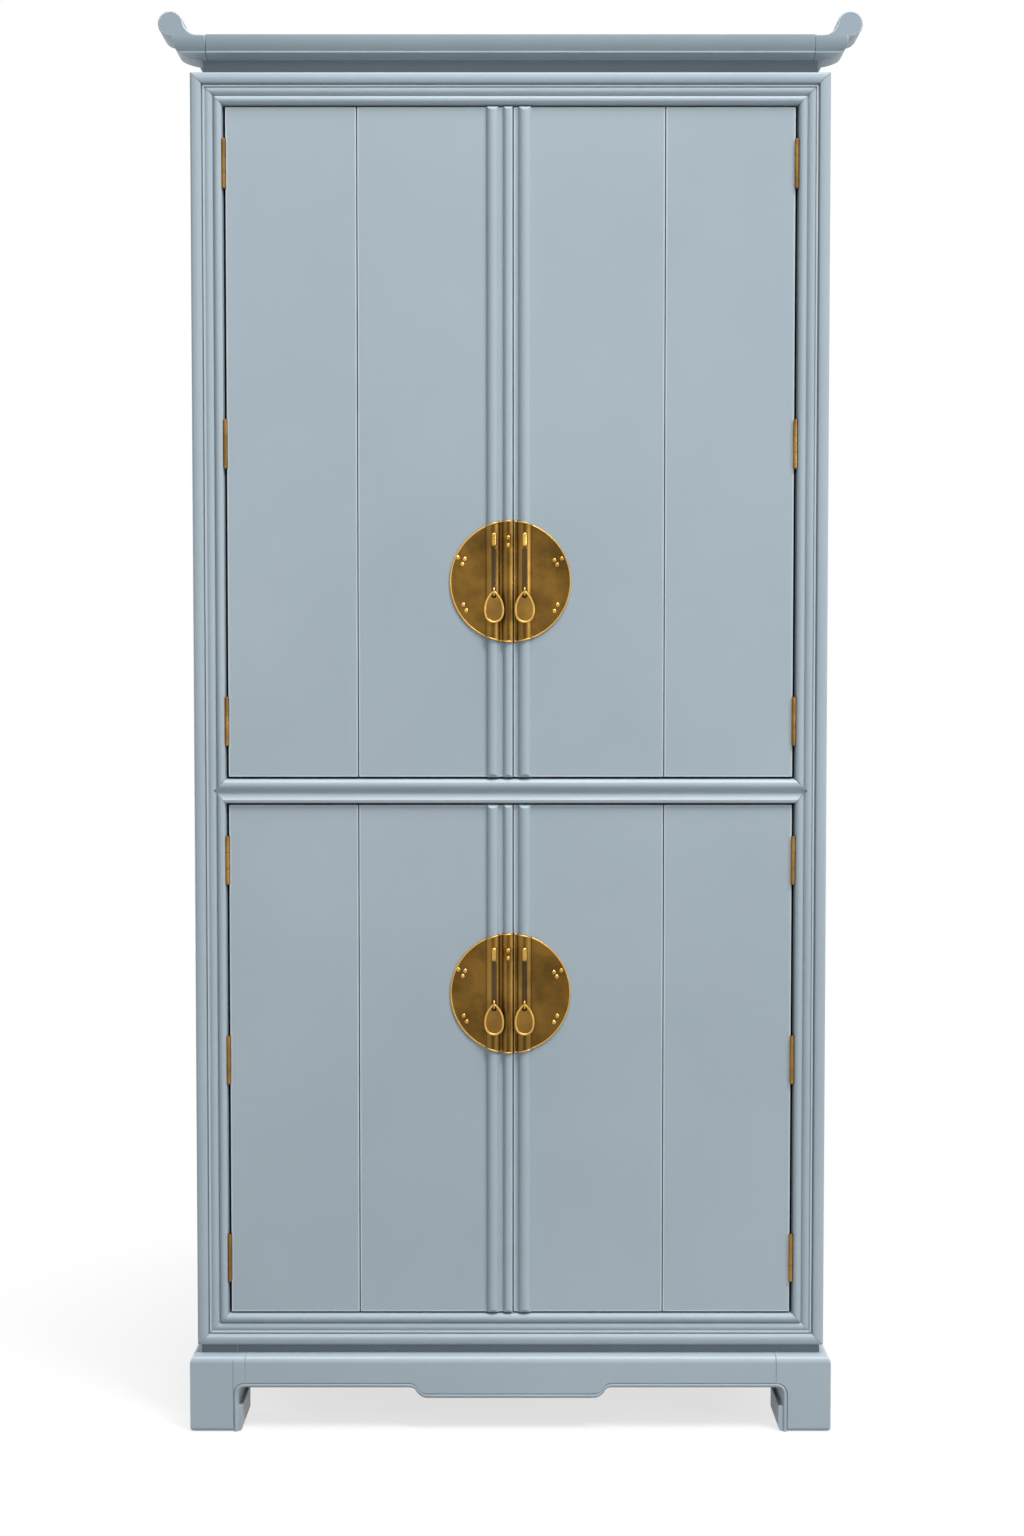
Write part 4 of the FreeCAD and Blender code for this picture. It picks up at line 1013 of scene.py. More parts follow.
for tier, side in DOORS:
    name, way = f"{tier}_{side}", WAY[side]
    span = (DOOR_SPAN[tier][0] + DOOR_TRIM, DOOR_SPAN[tier][1] - DOOR_TRIM)
    lap, gap, half = way * SEAM_LAP, way * SEAM_GAP / 2, (DOOR_FACE + DOOR_BACK) / 2
    seam, meet, edge = SEAM[side], MEET[side], way * (DOOR_EDGE - DOOR_TRIM)
    inner = plan_cut("plank", [
        (meet, DOOR_FACE), (seam - gap, DOOR_FACE), (seam - gap, half), (seam + lap, half),
        (seam + lap, DOOR_BACK), (meet, DOOR_BACK)], span)
    outer = plan_cut("plank", [
        (edge, DOOR_FACE), (seam + gap, DOOR_FACE), (seam + gap, half - LAP_ROOM),
        (seam + lap + gap, half - LAP_ROOM), (seam + lap + gap, DOOR_BACK), (edge, DOOR_BACK)],
        span)
    carve(outer, notches(way * HINGE_X, [tier]))
    pair = soften(join(f"{name}_plank_pair", [outer, inner]), DOOR_EASED, 3)
    # A painted highlight runs round the front of each plank.
    highlight_border(pair)
    settle(pair, f"{name}_door", "paint", PAINT["Z"], f"{name}_planks")
    first, last = span[0] + BATTEN_INSET, span[1] - BATTEN_INSET - BATTEN_HIGH
    rises = [first + (last - first) * n / (BATTENS[tier] - 1) for n in range(BATTENS[tier])]
    bars = [board("bar", BATTEN_ENDS[side], (DOOR_BACK, DOOR_BACK + BATTEN_DEEP),
                  (z, z + BATTEN_HIGH)) for z in rises]
    settle(soften(join(f"{name}_batten_bars", bars), BATTEN_EASED, 3), f"{name}_door", "paint",
           PAINT["X"], f"{name}_battens")

# %% [markdown]
# Three half-round reeds run down where the doors meet, two on the left door and one on the
# right. A reed is a round bar sawn flat at the door's face, with its crown bevelled at both
# ends. The bar is wider than the reed is proud, so it shows as a low arch and not a half circle.
# The arris beside the meeting line is painted pale, as a painted highlight.

# %% Reeds
REEDS = {"left": ((-26.5, 17.5, 7.0), (-3.6, 13.7, 6.0)), "right": ((21.0, 18.5, 7.0),)}
REED_BEVEL, REED_EASED, REED_SIDES = 5.0, 0.5, 72
MEETING_ARRIS = (0.8, 3.4)


def reed_round(reed):
    """The axis (x, depth) and radius of the bar a reed is sawn from."""
    x, width, proud = reed
    radius = ((width / 2) ** 2 + proud ** 2) / (2 * proud)
    return x, DOOR_FACE - proud + radius, radius


for tier, side in DOORS:
    name, (low, high) = f"{tier}_{side}", DOOR_SPAN[tier]
    strips = []
    for reed in REEDS[side]:
        x, depth, radius = reed_round(reed)
        strip = rod("strip", radius, (x, depth, low), (x, depth, high), REED_SIDES)
        saw(strip, place(0, DOOR_FACE, 0), (0, 1, 0))
        bevel = DOOR_FACE - REEDS[side][0][2] + REED_BEVEL
        saw(strip, place(0, bevel, low), (0, -1, -1))
        saw(strip, place(0, bevel, high), (0, -1, 1))
        strips.append(strip)
    reeds = soften(join(f"{name}_reed_strips", strips), REED_EASED)
    # A painted highlight runs along the arris beside the meeting line.
    highlight_strip(reeds, lambda at: at[0], MEETING_ARRIS)
    settle(reeds, f"{name}_door", "paint", PAINT["Z"], f"{name}_reeds")

# %% [markdown]
# A round brass plate lies over the meeting of each pair of doors, split in two, and beaten
# down over the reeds. It could be a flat disc, but the ridges catch much of the light, so its
# section is worked out first: a line that follows the door's face and the reeds, and runs
# softly from one to the other.

# %% Section of the plates
PLATE_R, PLATE_THICK, PLATE_GAP, PLATE_SPLIT = 90.0, 1.5, 0.1, 0.05
SHEET_HALF, SHEET_STEP, SHEET_REACH, SHEET_BLEND = PLATE_R + 1, 0.8, 15.0, 10.0
SHEET_OFF = PLATE_GAP + PLATE_THICK / 2


def sheet_depth(x, reeds):
    """Depth of the middle of the sheet, over the door and its reeds."""
    depth = DOOR_FACE - SHEET_OFF
    for reed in reeds:
        middle, axis, radius = reed_round(reed)
        reach = (radius + SHEET_OFF) ** 2 - (x - middle) ** 2
        if reach > 0:
            over = axis - math.sqrt(reach)
            near = max(SHEET_BLEND - abs(depth - over), 0) / SHEET_BLEND
            depth = min(depth, over) - near * near * SHEET_BLEND / 4
    return depth


def sheet_stations(side):
    """Places across the plate, close together over the reeds."""
    low, high = sorted((WAY[side] * SHEET_HALF, MEET[side] + WAY[side] * PLATE_SPLIT))
    middles = [reed[0] for reed in REEDS[side]]
    start, end = max(low, min(middles) - SHEET_REACH), min(high, max(middles) + SHEET_REACH)
    count = round((end - start) / SHEET_STEP)
    return sorted({low, high, *(start + (end - start) * n / count for n in range(count + 1))})


print("places across a half plate:", [len(sheet_stations(side)) for side in MEET])

# %% [markdown]
# The plate's edge is turned over like a wire. A line that follows the rim is made a curve with a
# round section, and that a mesh. The same way makes the rims of the pulls and the bead along the
# base.

# %% Wires
WIRE_ROUND = 4
WELD = 0.001


def wire(name, points, radius, closed=False):
    """A drawn line thickened to a round moulding."""
    line = draw(name, points, filled=False)
    if closed:
        open_up(line)
        bpy.ops.mesh.select_all(action="DESELECT")
        bpy.ops.object.mode_set(mode="OBJECT")
        line.data.vertices[0].select = line.data.vertices[-1].select = True
        bpy.ops.object.mode_set(mode="EDIT")
        bpy.ops.mesh.edge_face_add()
        bpy.ops.object.mode_set(mode="OBJECT")
    pick(line)
    bpy.ops.object.convert(target="CURVE")
    curve = bpy.context.object.data
    curve.bevel_depth = radius * MM
    curve.bevel_resolution = WIRE_ROUND
    curve.use_fill_caps = not closed
    bpy.ops.object.convert(target="MESH")
    round_line = call(bpy.context.object, name)
    open_up(round_line)
    bpy.ops.mesh.remove_doubles(threshold=WELD * MM)
    close_up()
    return round_line


def bright(piece):
    """Marks every face as pale, as wear and painted highlight."""
    return mark_wear_and_highlight(piece, 1.0, lambda face: True)


print("a wire has", 4 + 2 * WIRE_ROUND, "sides")

# %% [markdown]
# Carried upward, the section is a ribbon, and the Solidify modifier makes it sheet metal. The
# line for the wire follows the half circle just inside its edge and rises over the reeds like
# the sheet. Closed, it also runs along the split.

# %% Sheets and rims
SHEET_SPARE = 2.0
RIM_WIRE, RIM_SUNK, RIM_STEPS = 1.25, 0.25, 150


def rim_line(side, z):
    """The edge of one half plate, just inside it and on the sheet's front."""
    way = WAY[side]
    ring, split = PLATE_R - RIM_WIRE, MEET[side] + way * (PLATE_SPLIT + RIM_WIRE)
    half = math.acos(way * split / ring)
    turns = [half * (1 - 2 * n / RIM_STEPS) for n in range(RIM_STEPS + 1)]
    spots = [(way * ring * math.cos(turn), ring * math.sin(turn)) for turn in turns]
    return [place(x, sheet_depth(x, REEDS[side]) - PLATE_THICK / 2 + RIM_SUNK, z + dz)
            for x, dz in spots]


def sheet(name, side, z):
    """A square of sheet metal, bent over the reeds."""
    low = z - PLATE_R - SHEET_SPARE
    line = [place(x, sheet_depth(x, REEDS[side]), low) for x in sheet_stations(side)]
    ribbon = draw(name, line, filled=False)
    open_up(ribbon)
    bpy.ops.mesh.extrude_region_move(
        TRANSFORM_OT_translate={"value": (0, 0, 2 * (PLATE_R + SHEET_SPARE) * MM)})
    bpy.ops.object.mode_set(mode="OBJECT")
    bpy.ops.object.modifier_add(type="SOLIDIFY")
    metal = ribbon.modifiers[-1]
    metal.thickness = PLATE_THICK * MM
    metal.offset = 0.0
    metal.use_even_offset = True
    bpy.ops.object.modifier_apply(modifier=metal.name)
    open_up(ribbon)
    close_up()
    return ribbon


print("a rim's line has", RIM_STEPS + 1, "points")

# %% [markdown]
# A Boolean with a disc trims the sheet round, and the wire is laid along its rim. The flanks of
# the ridges are painted a little brighter, as painted highlights.

# %% Plates
PLATE_Z = {"upper": 1272.0, "lower": 659.0}
DISC_HALF, DISC_SIDES = 30.0, 160
PLATE_EASED, PLATE_SHARP = 0.3, 50
RIDGE_SLOPE, RIDGE_HIGHLIGHT = 0.22, 0.22

for tier, side in DOORS:
    name, z = f"{tier}_{side}", PLATE_Z[tier]
    plate = sheet(f"{name}_plate_half", side, z)
    disc = rod("disc", PLATE_R, (0, -DISC_HALF, z), (0, DISC_HALF, z), DISC_SIDES)
    carve(plate, disc, operation="INTERSECT")
    # The rim wire is bright all over, as worn metal and painted highlight.
    rim = bright(wire("rim", rim_line(side, z), RIM_WIRE, closed=True))
    soften(plate, PLATE_EASED, 2, PLATE_SHARP)
    # Painted highlights on the flanks of the ridges.
    mark_wear_and_highlight(plate, RIDGE_HIGHLIGHT, lambda face: abs(face.normal.x) > RIDGE_SLOPE)
    settle(join(f"{name}_plate_half", [plate, rim]), f"{name}_door", "aged_brass", PLATE_BRASS,
           f"{name}_plate")

# %% [markdown]
# Domed nails hold the sheet down, in small groups near the rim and two on the middle reed. A
# squashed sphere would do for the dome, but these have a dimple on top, so one is spun from half
# its outline, then copied to every place.

# %% Studs
STUD_R, STUD_HIGH, STUD_ROOT, DIMPLE_R, DIMPLE_DEEP = 3.6, 1.8, 1.0, 0.9, 0.7
DIMPLE_FLAT, DOME_OUT, DOME_UP = 0.7, 0.68, 0.72
STUDS = {"left": ((-77.9, 35.3), (-67.6, 33.2), (-71.2, 25.6), (-69.8, -34.2), (-65.3, -42.8)),
         "right": ((75.8, 33.9), (64.9, 31.3), (68.9, 24.7), (69.9, -34.2), (64.9, -43.8))}
CENTRE_STUDS = ((-3.4, 64.4), (-3.4, 52.9))
SPIN_STEPS = 28


def spun(name, profile):
    """A profile of (radius, depth) spun round the depth axis at the origin."""
    line = draw(name, [Vector((r * MM, t * MM, 0)) for r, t in profile], filled=False)
    open_up(line)
    bpy.ops.mesh.spin(steps=SPIN_STEPS, angle=2 * math.pi, center=(0, 0, 0), axis=(0, 1, 0))
    bpy.ops.mesh.select_all(action="SELECT")
    bpy.ops.mesh.remove_doubles(threshold=WELD * MM)
    close_up()
    return line


sunk = DIMPLE_DEEP - STUD_HIGH
dome = trace([(0, sunk), (DIMPLE_R * DIMPLE_FLAT, sunk), (DIMPLE_R, -STUD_HIGH),
              ((STUD_R * DOME_OUT, -STUD_HIGH * DOME_UP), (STUD_R, 0)),
              (STUD_R, STUD_ROOT), (0, STUD_ROOT)])
stud = spun("stud_pattern", dome)
for tier, side in DOORS:
    name, z = f"{tier}_{side}", PLATE_Z[tier]
    flat = DOOR_FACE - PLATE_GAP - PLATE_THICK
    spots = [(x, flat, z + dz) for x, dz in STUDS[side]]
    if side == "left":
        crown = sheet_depth(CENTRE_STUDS[0][0], REEDS["left"]) - PLATE_THICK / 2
        spots += [(x, crown, z + dz) for x, dz in CENTRE_STUDS]
    nails = [copied(stud, "nail", place(*spot)) for spot in spots]
    settle(join(f"{name}_stud_nails", nails), f"{name}_door", "aged_brass", FITTING_BRASS,
           f"{name}_studs")
bpy.data.objects.remove(stud)

# %% [markdown]
# Above the middle of each half stands a pierced post, through which a lock bar would slide. It
# is a block rounded until it is a pill from the front, with its back end sunk in the reed, and
# a rod bores the hole across it.

# %% Posts
POST_X = {"left": -24.3, "right": 21.0}
POST_DZ, POST_WIDE, POST_HIGH = 60.6, 8.3, 21.0
POST_TIP = -16.1
POST_HOLE, POST_HOLE_R = -9.2, 3.5
POST_ROUND, BORE_HALF, BORE_SIDES = 3.7, 9.0, 40


def post(name, side, z):
    """One pierced post on the sheet."""
    x, half, tall = POST_X[side], POST_WIDE / 2, POST_HIGH / 2
    foot = sheet_depth(x, REEDS[side]) + POST_ROUND
    pill = board(name, (x - half, x + half), (POST_TIP, foot), (z - tall, z + tall))
    soften(pill, POST_ROUND, 8, wear_and_highlight=0.0)
    carve(pill, rod("bore", POST_HOLE_R, (x - BORE_HALF, POST_HOLE, z),
                    (x + BORE_HALF, POST_HOLE, z), BORE_SIDES))
    return pill


print("posts stand", -POST_TIP, "mm in front of the frame's crown")

# %% [markdown]
# Below each post a strap runs down the crown of the reed. A flat strip would stand off at its
# edges, so it is a short piece of a tube's wall, drawn in plan and carried upward.

# %% Straps
STRAP_WIDE, STRAP_THICK, STRAP_SEAT = 8.2, 1.0, 0.3
STRAP_TOP, STRAP_END, STRAP_EASED = 48.6, -27.0, 0.3


def strap_round(side):
    """The axis (x, depth) and radius of the tube that a strap is bent to."""
    middle, axis, radius = reed_round(REEDS[side][0])
    return middle, axis, radius + PLATE_GAP + PLATE_THICK + STRAP_SEAT


def strap(name, side, z):
    """The strap, bent to the reed."""
    middle, axis, inner = strap_round(side)
    x, half, outer = POST_X[side], STRAP_WIDE / 2, inner + STRAP_THICK

    def on_tube(across, size):
        return (across, axis - math.sqrt(size ** 2 - (across - middle) ** 2))

    path = [on_tube(x - half, inner), (on_tube(x, inner), on_tube(x + half, inner)),
            on_tube(x + half, outer), (on_tube(x, outer), on_tube(x - half, outer))]
    strip = plan_cut(name, path, (z + STRAP_END, z + STRAP_TOP))
    return soften(strip, STRAP_EASED)


print("straps are", STRAP_TOP - STRAP_END, "mm long")

# %% [markdown]
# On the strap stands a ring, which carries the drop pull. The ring is a torus, drawn out to an
# oval, with its back sunk in the strap. Post, strap and ring move with their door.

# %% Ring eyes
EYE_R, EYE_WIRE, EYE_DZ, EYE_STAND = 5.0, 1.5, -16.6, 3.6
EYE_RISE, EYE_TALL, EYE_SINK = 1.2, 1.2, 0.4
EYE_STEPS, EYE_SIDES, BAR_SIDES = 48, 16, 64


def eye_depth(side):
    """Depth of the middle of the ring."""
    proud = REEDS[side][0][2]
    return DOOR_FACE - proud - PLATE_GAP - PLATE_THICK - STRAP_THICK - EYE_STAND


def ring_eye(name, side, z):
    """The ring, edge-on to the front."""
    spot = place(POST_X[side], eye_depth(side), z + EYE_DZ)
    pick()
    bpy.ops.mesh.primitive_torus_add(major_radius=EYE_R * MM, minor_radius=EYE_WIRE * MM,
                                     major_segments=EYE_STEPS, minor_segments=EYE_SIDES,
                                     location=spot, rotation=(0, math.pi / 2, 0))
    bpy.ops.object.transform_apply(location=True, rotation=True, scale=True)
    ring = call(bpy.context.object, name)
    open_up(ring)
    bpy.ops.transform.resize(value=(1, 1, EYE_TALL), center_override=spot)
    bpy.ops.transform.translate(value=(0, 0, EYE_RISE * MM))
    close_up()
    middle, axis, inner = strap_round(side)
    bar = rod("bar", inner + STRAP_THICK * EYE_SINK, (middle, axis, z + STRAP_END),
              (middle, axis, z + STRAP_TOP), BAR_SIDES)
    return carve(ring, bar)


for tier, side in DOORS:
    name, z = f"{tier}_{side}", PLATE_Z[tier]
    for piece, finish in ((post(f"{name}_post", side, z + POST_DZ), FITTING_BRASS),
                          (strap(f"{name}_strap", side, z), STRAP_BRASS),
                          (ring_eye(f"{name}_ring_eye", side, z), FITTING_BRASS)):
        settle(piece, f"{name}_door", "aged_brass", finish, f"{name}_post_and_eye")

# %% [markdown]
# The pull is a flat pear. Its outline goes round a large circle below and a small one above, and
# an arc on each side joins them smoothly. Where that arc starts and ends is worked out, so only
# radii and heights have to be chosen.

# %% Outline of the pulls
PULL_LOW_R, PULL_HIGH_R, PULL_FLANK_R = 14.6, 5.6, 36.0


def on_circle(centre, radius, degrees):
    """A point on a circle."""
    turn = math.radians(degrees)
    return (centre[0] + radius * math.cos(turn), centre[1] + radius * math.sin(turn))


def bearing(centre, point):
    """The direction from a centre to a point, in degrees."""
    return math.degrees(math.atan2(point[1] - centre[1], point[0] - centre[0]))


def pear(x, low, low_r, high, high_r, flank_r):
    """An outline round a low and a high circle, with full flanks."""
    to_low, to_high, gap = flank_r - low_r, flank_r - high_r, high - low
    rise = (to_low ** 2 - to_high ** 2 + gap ** 2) / (2 * gap)
    aside = math.sqrt(to_low ** 2 - rise ** 2)
    flank = (x - aside, low + rise)
    start, stop = bearing(flank, (x, low)), bearing(flank, (x, high))

    def over(point):
        return (2 * x - point[0], point[1])

    belly, neck = on_circle((x, low), low_r, start), on_circle((x, high), high_r, stop)
    side = on_circle(flank, flank_r, (start + stop) / 2)
    return [belly, (side, neck), ((x, high + high_r), over(neck)), (over(side), over(belly)),
            ((x, low - low_r), belly)]


print("a pear round circles of", PULL_LOW_R, "and", PULL_HIGH_R, "mm")

# %% [markdown]
# The pear's field lies sunk inside a round rim, with a hole near its tip through which the ring
# passes. The pull hangs on its own joint and swings up and out, so it is tied to the drop and
# not to the door.

# %% Drop pulls
PULL_LOW, PULL_HIGH = -47.5, -20.0
PULL_THICK, PULL_RIM, PULL_SINK, PULL_EASED = 3.0, 1.9, 0.9, 0.25
PULL_HOLE_R, PULL_HOLE_SIDES = 4.2, 36

for tier, side in DOORS:
    name, z, x = f"{tier}_{side}", PLATE_Z[tier], POST_X[side]
    front, hole_z = eye_depth(side) - PULL_THICK / 2, PLATE_Z[tier] + EYE_DZ - EYE_R
    outline = pear(x, z + PULL_LOW, PULL_LOW_R - PULL_RIM, z + PULL_HIGH, PULL_HIGH_R - PULL_RIM,
                   PULL_FLANK_R - PULL_RIM)
    field = front_cut("field", outline, (front + PULL_SINK, front + PULL_THICK - PULL_SINK / 2))
    carve(field, rod("bore", PULL_HOLE_R, (x, front - SPARE, hole_z),
                     (x, front + PULL_THICK + SPARE, hole_z), PULL_HOLE_SIDES))
    line = [place(px, front + PULL_THICK / 2, pz) for px, pz in trace(outline)]
    edge = wire("rim", line, PULL_RIM, closed=True)
    # The pull's rim is bright all over, as worn metal and painted highlight.
    drop = join(f"{name}_pear_drop", [soften(field, PULL_EASED), bright(edge)])
    settle(drop, f"{name}_drop", "aged_brass", PULL_BRASS, f"{name}_pull")

# %% [markdown]
# Each door hangs on three small butt hinges. Only the barrels show when the doors are shut,
# in hollows beside the frame; the leaves lie in the gap. The frame's leaf carries the top and
# bottom knuckles and the door's leaf the middle one, so that each half moves with its own part.

# %% Hinges
BARREL_R, LEAF_THICK, LEAF_REACH, KNUCKLE_GAP = 3.1, 1.3, 20.0, 0.7
KNUCKLE_SIDES, NECK_LAP, HINGE_EASED = 32, 0.4, 0.25
CAP_R, CAP_SIDES, PIN_R, PIN_SIDES, PIN_EASED = 2.2, 24, 1.25, 16, 0.4
KNUCKLE = (2 * HINGE_HALF - 2 * KNUCKLE_GAP) / 3


def bar_up(name, radius, x, low, high, sides):
    """An upright round bar on the hinge line."""
    return rod(name, radius, (x, HINGE_DEPTH, low), (x, HINGE_DEPTH, high), sides)


def half_hinge(way, leaf_ends, z, knuckles):
    """One leaf with some of its three knuckles."""
    leaf_x, clear = sorted(way * end for end in leaf_ends), HINGE_DEPTH + NOTCH_R
    parts = [board("leaf", leaf_x, (clear, HINGE_DEPTH + LEAF_REACH),
                   (z - HINGE_HALF, z + HINGE_HALF))]
    for n in knuckles:
        low = z - HINGE_HALF + n * (KNUCKLE + KNUCKLE_GAP)
        neck = board("neck", leaf_x, (HINGE_DEPTH, clear + NECK_LAP), (low, low + KNUCKLE))
        knuckle = bar_up("knuckle", BARREL_R, way * HINGE_X, low, low + KNUCKLE, KNUCKLE_SIDES)
        parts.append(carve(knuckle, neck, operation="UNION"))
    return parts


def hinge_pin(x, z):
    """A pin with a small cap at each end."""
    caps = [bar_up("cap", CAP_R, x, z + up * HINGE_HALF, z + up * (HINGE_HALF + CAP_HIGH),
                   CAP_SIDES) for up in (-1, 1)]
    return caps + [bar_up("pin", PIN_R, x, z - HINGE_HALF, z + HINGE_HALF, PIN_SIDES)]


frame_halves, pins = [], []
for tier, side in DOORS:
    way, door_halves = WAY[side], []
    for z in hinge_heights(tier):
        frame_halves += half_hinge(way, (OPEN_HALF, OPEN_HALF - LEAF_THICK), z, (0, 2))
        door_halves += half_hinge(way, (DOOR_EDGE, DOOR_EDGE + LEAF_THICK), z, (1,))
        pins += hinge_pin(way * HINGE_X, z)
    settle(soften(join(f"{tier}_{side}_hinge_halves", door_halves), HINGE_EASED),
           f"{tier}_{side}_door", "hinge_brass", HINGE_BRASS, f"{tier}_{side}_hinge_leaves")
settle(soften(join("frame_hinge_halves", frame_halves), HINGE_EASED), "cabinet", "hinge_brass",
       HINGE_BRASS, "hinge_frame_leaves")
settle(soften(join("hinge_pin_caps", pins), PIN_EASED), "cabinet", "hinge_brass", HINGE_BRASS,
       "hinge_pins")

# %% [markdown]
# The base stands on square legs that curve into the aprons, with a hoof that steps inward at
# the floor. A leg could be carved from a block by eye. Here its outline is drawn square on, once
# for the front and once for the side, and so is the band along its inner edge that takes a bead.

# %% Leg outlines
BASE_HALF, BASE_FRONT, BASE_REAR, BASE_TOP = 480.0, -10.0, 500.0, 115.0
BULLNOSE, LEG_WIDE, LEG_DEEP = 11.0, 82.0, 100.0
ANKLE_BACK, TOE_BACK, TOE_HIGH, TOE_R, FOOT_R = 10.0, 4.0, 38.0, 2.0, 7.0
ARCH_Z, ARCH_R = 67.0, 10.0
BEAD_WIDE = 7.5
LEG_SPARE = 3.0


def leg_outline(width, rounded):
    """A leg seen square on: distance inward from its outer side, and height."""
    ankle, toe = width - ANKLE_BACK, width - TOE_BACK
    low, high = [(0, 0)], [(0, BASE_TOP)]
    if rounded:
        nose = (BULLNOSE, BASE_TOP - BULLNOSE)
        low = [(0, FOOT_R), (on_circle((FOOT_R, FOOT_R), FOOT_R, 225), (FOOT_R, 0))]
        high = [(BULLNOSE, BASE_TOP), (on_circle(nose, BULLNOSE, 135), (0, nose[1]))]
    arch = (width, ARCH_Z - ARCH_R)
    return low + [
        (toe - FOOT_R, 0), (on_circle((toe - FOOT_R, FOOT_R), FOOT_R, 315), (toe, FOOT_R)),
        (toe, TOE_HIGH - TOE_R),
        (on_circle((toe - TOE_R, TOE_HIGH - TOE_R), TOE_R, 45), (toe - TOE_R, TOE_HIGH)),
        (ankle, TOE_HIGH), (ankle, arch[1]), (on_circle(arch, ARCH_R, 135), (width, ARCH_Z)),
        (width, BASE_TOP)] + high


def bead_band(width):
    """The area inside the bead line of a leg."""
    line, arch = width - ANKLE_BACK - BEAD_WIDE, (width, ARCH_Z - ARCH_R)
    return [(line, -LEG_SPARE), (line, arch[1]),
            (on_circle(arch, ARCH_R + BEAD_WIDE, 135), (width, ARCH_Z + BEAD_WIDE)),
            (width + LEG_SPARE, ARCH_Z + BEAD_WIDE), (width + LEG_SPARE, -LEG_SPARE)]


print("a leg's front outline has", len(trace(leg_outline(LEG_WIDE, True))), "points")

# %% [markdown]
# A leg is the overlap of its two outlines. The band for the bead is cut back a little, and a
# square post stands on top, up to the carcass, painted darker like the recesses as painted shade.
# Right legs are left legs turned over. Only the left front leg has an open glue line beside its
# bead.

# %% Legs
POST_INNER, POST_OUTER, POST_DEEP = 411.5, 465.0, 53.5
WAIST_FRONT, WAIST_REAR, WAIST_EASED = 9.5, 495.0, 0.4
JOINT_X = BASE_HALF - LEG_WIDE
LEG_EASED, BEAD_SINK = 1.0, 2.6
GLUE_GAP, GLUE_DEEP = 0.8, 1.3
NOSE_LINE = (110.0, 112.7)
POST_FROM = BASE_TOP + 0.1


def leg(name, at_front, glued=False):
    """A left leg, at the front or the rear, with the waist post on top."""
    depths = (BASE_FRONT, BASE_FRONT + LEG_DEEP) if at_front else (BASE_REAR - LEG_DEEP, BASE_REAR)

    def inward(a, z):
        return (BASE_FRONT + a, z) if at_front else (BASE_REAR - a, z)

    def from_left(a, z):
        return (a - BASE_HALF, z)

    piece = front_cut(name, moved(leg_outline(LEG_WIDE, True), from_left), depths)
    piece = carve(piece, side_cut("flank", moved(leg_outline(LEG_DEEP, at_front), inward),
                                  (-BASE_HALF - LEG_SPARE, -JOINT_X + LEG_SPARE)),
                  operation="INTERSECT")
    soften(piece, LEG_EASED, 3)
    carve(piece, side_cut("band", moved(bead_band(LEG_DEEP), inward),
                          (-BASE_HALF - LEG_SPARE, -BASE_HALF + BEAD_SINK)))
    if at_front:
        carve(piece, front_cut("band", moved(bead_band(LEG_WIDE), from_left),
                               (BASE_FRONT - LEG_SPARE, BASE_FRONT + BEAD_SINK)))
    if glued:
        line = -BASE_HALF + LEG_WIDE - ANKLE_BACK - BEAD_WIDE
        carve(piece, board("glue_line", (line - GLUE_GAP / 2, line + GLUE_GAP / 2),
                           (BASE_FRONT - LEG_SPARE, BASE_FRONT + GLUE_DEEP),
                           (ARCH_Z - ARCH_R, BASE_TOP - BULLNOSE / 2)))
    # A painted highlight runs along the turn of the nose.
    highlight_strip(piece, lambda at: at[2], NOSE_LINE)
    near = WAIST_FRONT if at_front else WAIST_REAR - POST_DEEP
    block = board("post", (-POST_OUTER, -POST_INNER), (near, near + POST_DEEP), (BASE_TOP, FLOOR_Z))
    return join(name, [piece, soften(block, WAIST_EASED)])


for row, at_front in (("front", True), ("rear", False)):
    left_leg = leg(f"leg_{row}_left_hoof", at_front, glued=at_front)
    plain_leg = leg("plain_leg", at_front)
    right_leg = copied(plain_leg, f"leg_{row}_right_hoof", turned_over=True)
    bpy.data.objects.remove(plain_leg)
    for piece, side in ((left_leg, "left"), (right_leg, "right")):
        settle(piece, "cabinet", "paint", PAINT["Z"], f"leg_{row}_{side}")
        # The post on top is painted darker, as painted shade.
        refinish(piece, PAINTED_SHADE, lambda face: face.center.z > POST_FROM * MM)

# %% [markdown]
# The front apron drops in the middle. Its lower edge is two shallow S curves, each made of two
# equal arcs, and its top edge is a round nose.

# %% Apron outlines
DROP_Z, DROP_HALF, DROP_RAMP = 51.0, 125.0, 27.0


def drop_edge(rise, end=JOINT_X):
    """The lower edge of the front apron from left to right, raised by some height."""
    low, high, half = DROP_Z + rise, ARCH_Z + rise, DROP_RAMP / 2
    radius = (half ** 2 + ((high - low) / 2) ** 2) / (high - low)
    turn = math.degrees(math.asin(half / radius)) / 2
    outer, knee = DROP_HALF + DROP_RAMP, (DROP_HALF + half, (low + high) / 2)
    upper = on_circle((outer, high - radius), radius, 90 + turn)
    lower = on_circle((DROP_HALF, low + radius), radius, 270 + turn)

    def left(point):
        return (-point[0], point[1])

    return [(-end, high), (-outer, high), (left(upper), left(knee)),
            (left(lower), (-DROP_HALF, low)), (DROP_HALF, low), (lower, knee),
            (upper, (outer, high)), (end, high)]


def nosed(front, back, low):
    """An upright board in section with a round nose at its top front edge."""
    way = 1 if back > front else -1
    nose = (front + way * BULLNOSE, BASE_TOP - BULLNOSE)
    return [(front, low), (front, nose[1]),
            (on_circle(nose, BULLNOSE, 90 + way * 45), (nose[0], BASE_TOP)),
            (back, BASE_TOP), (back, low)]


print("the apron drops", ARCH_Z - DROP_Z, "mm in the middle")

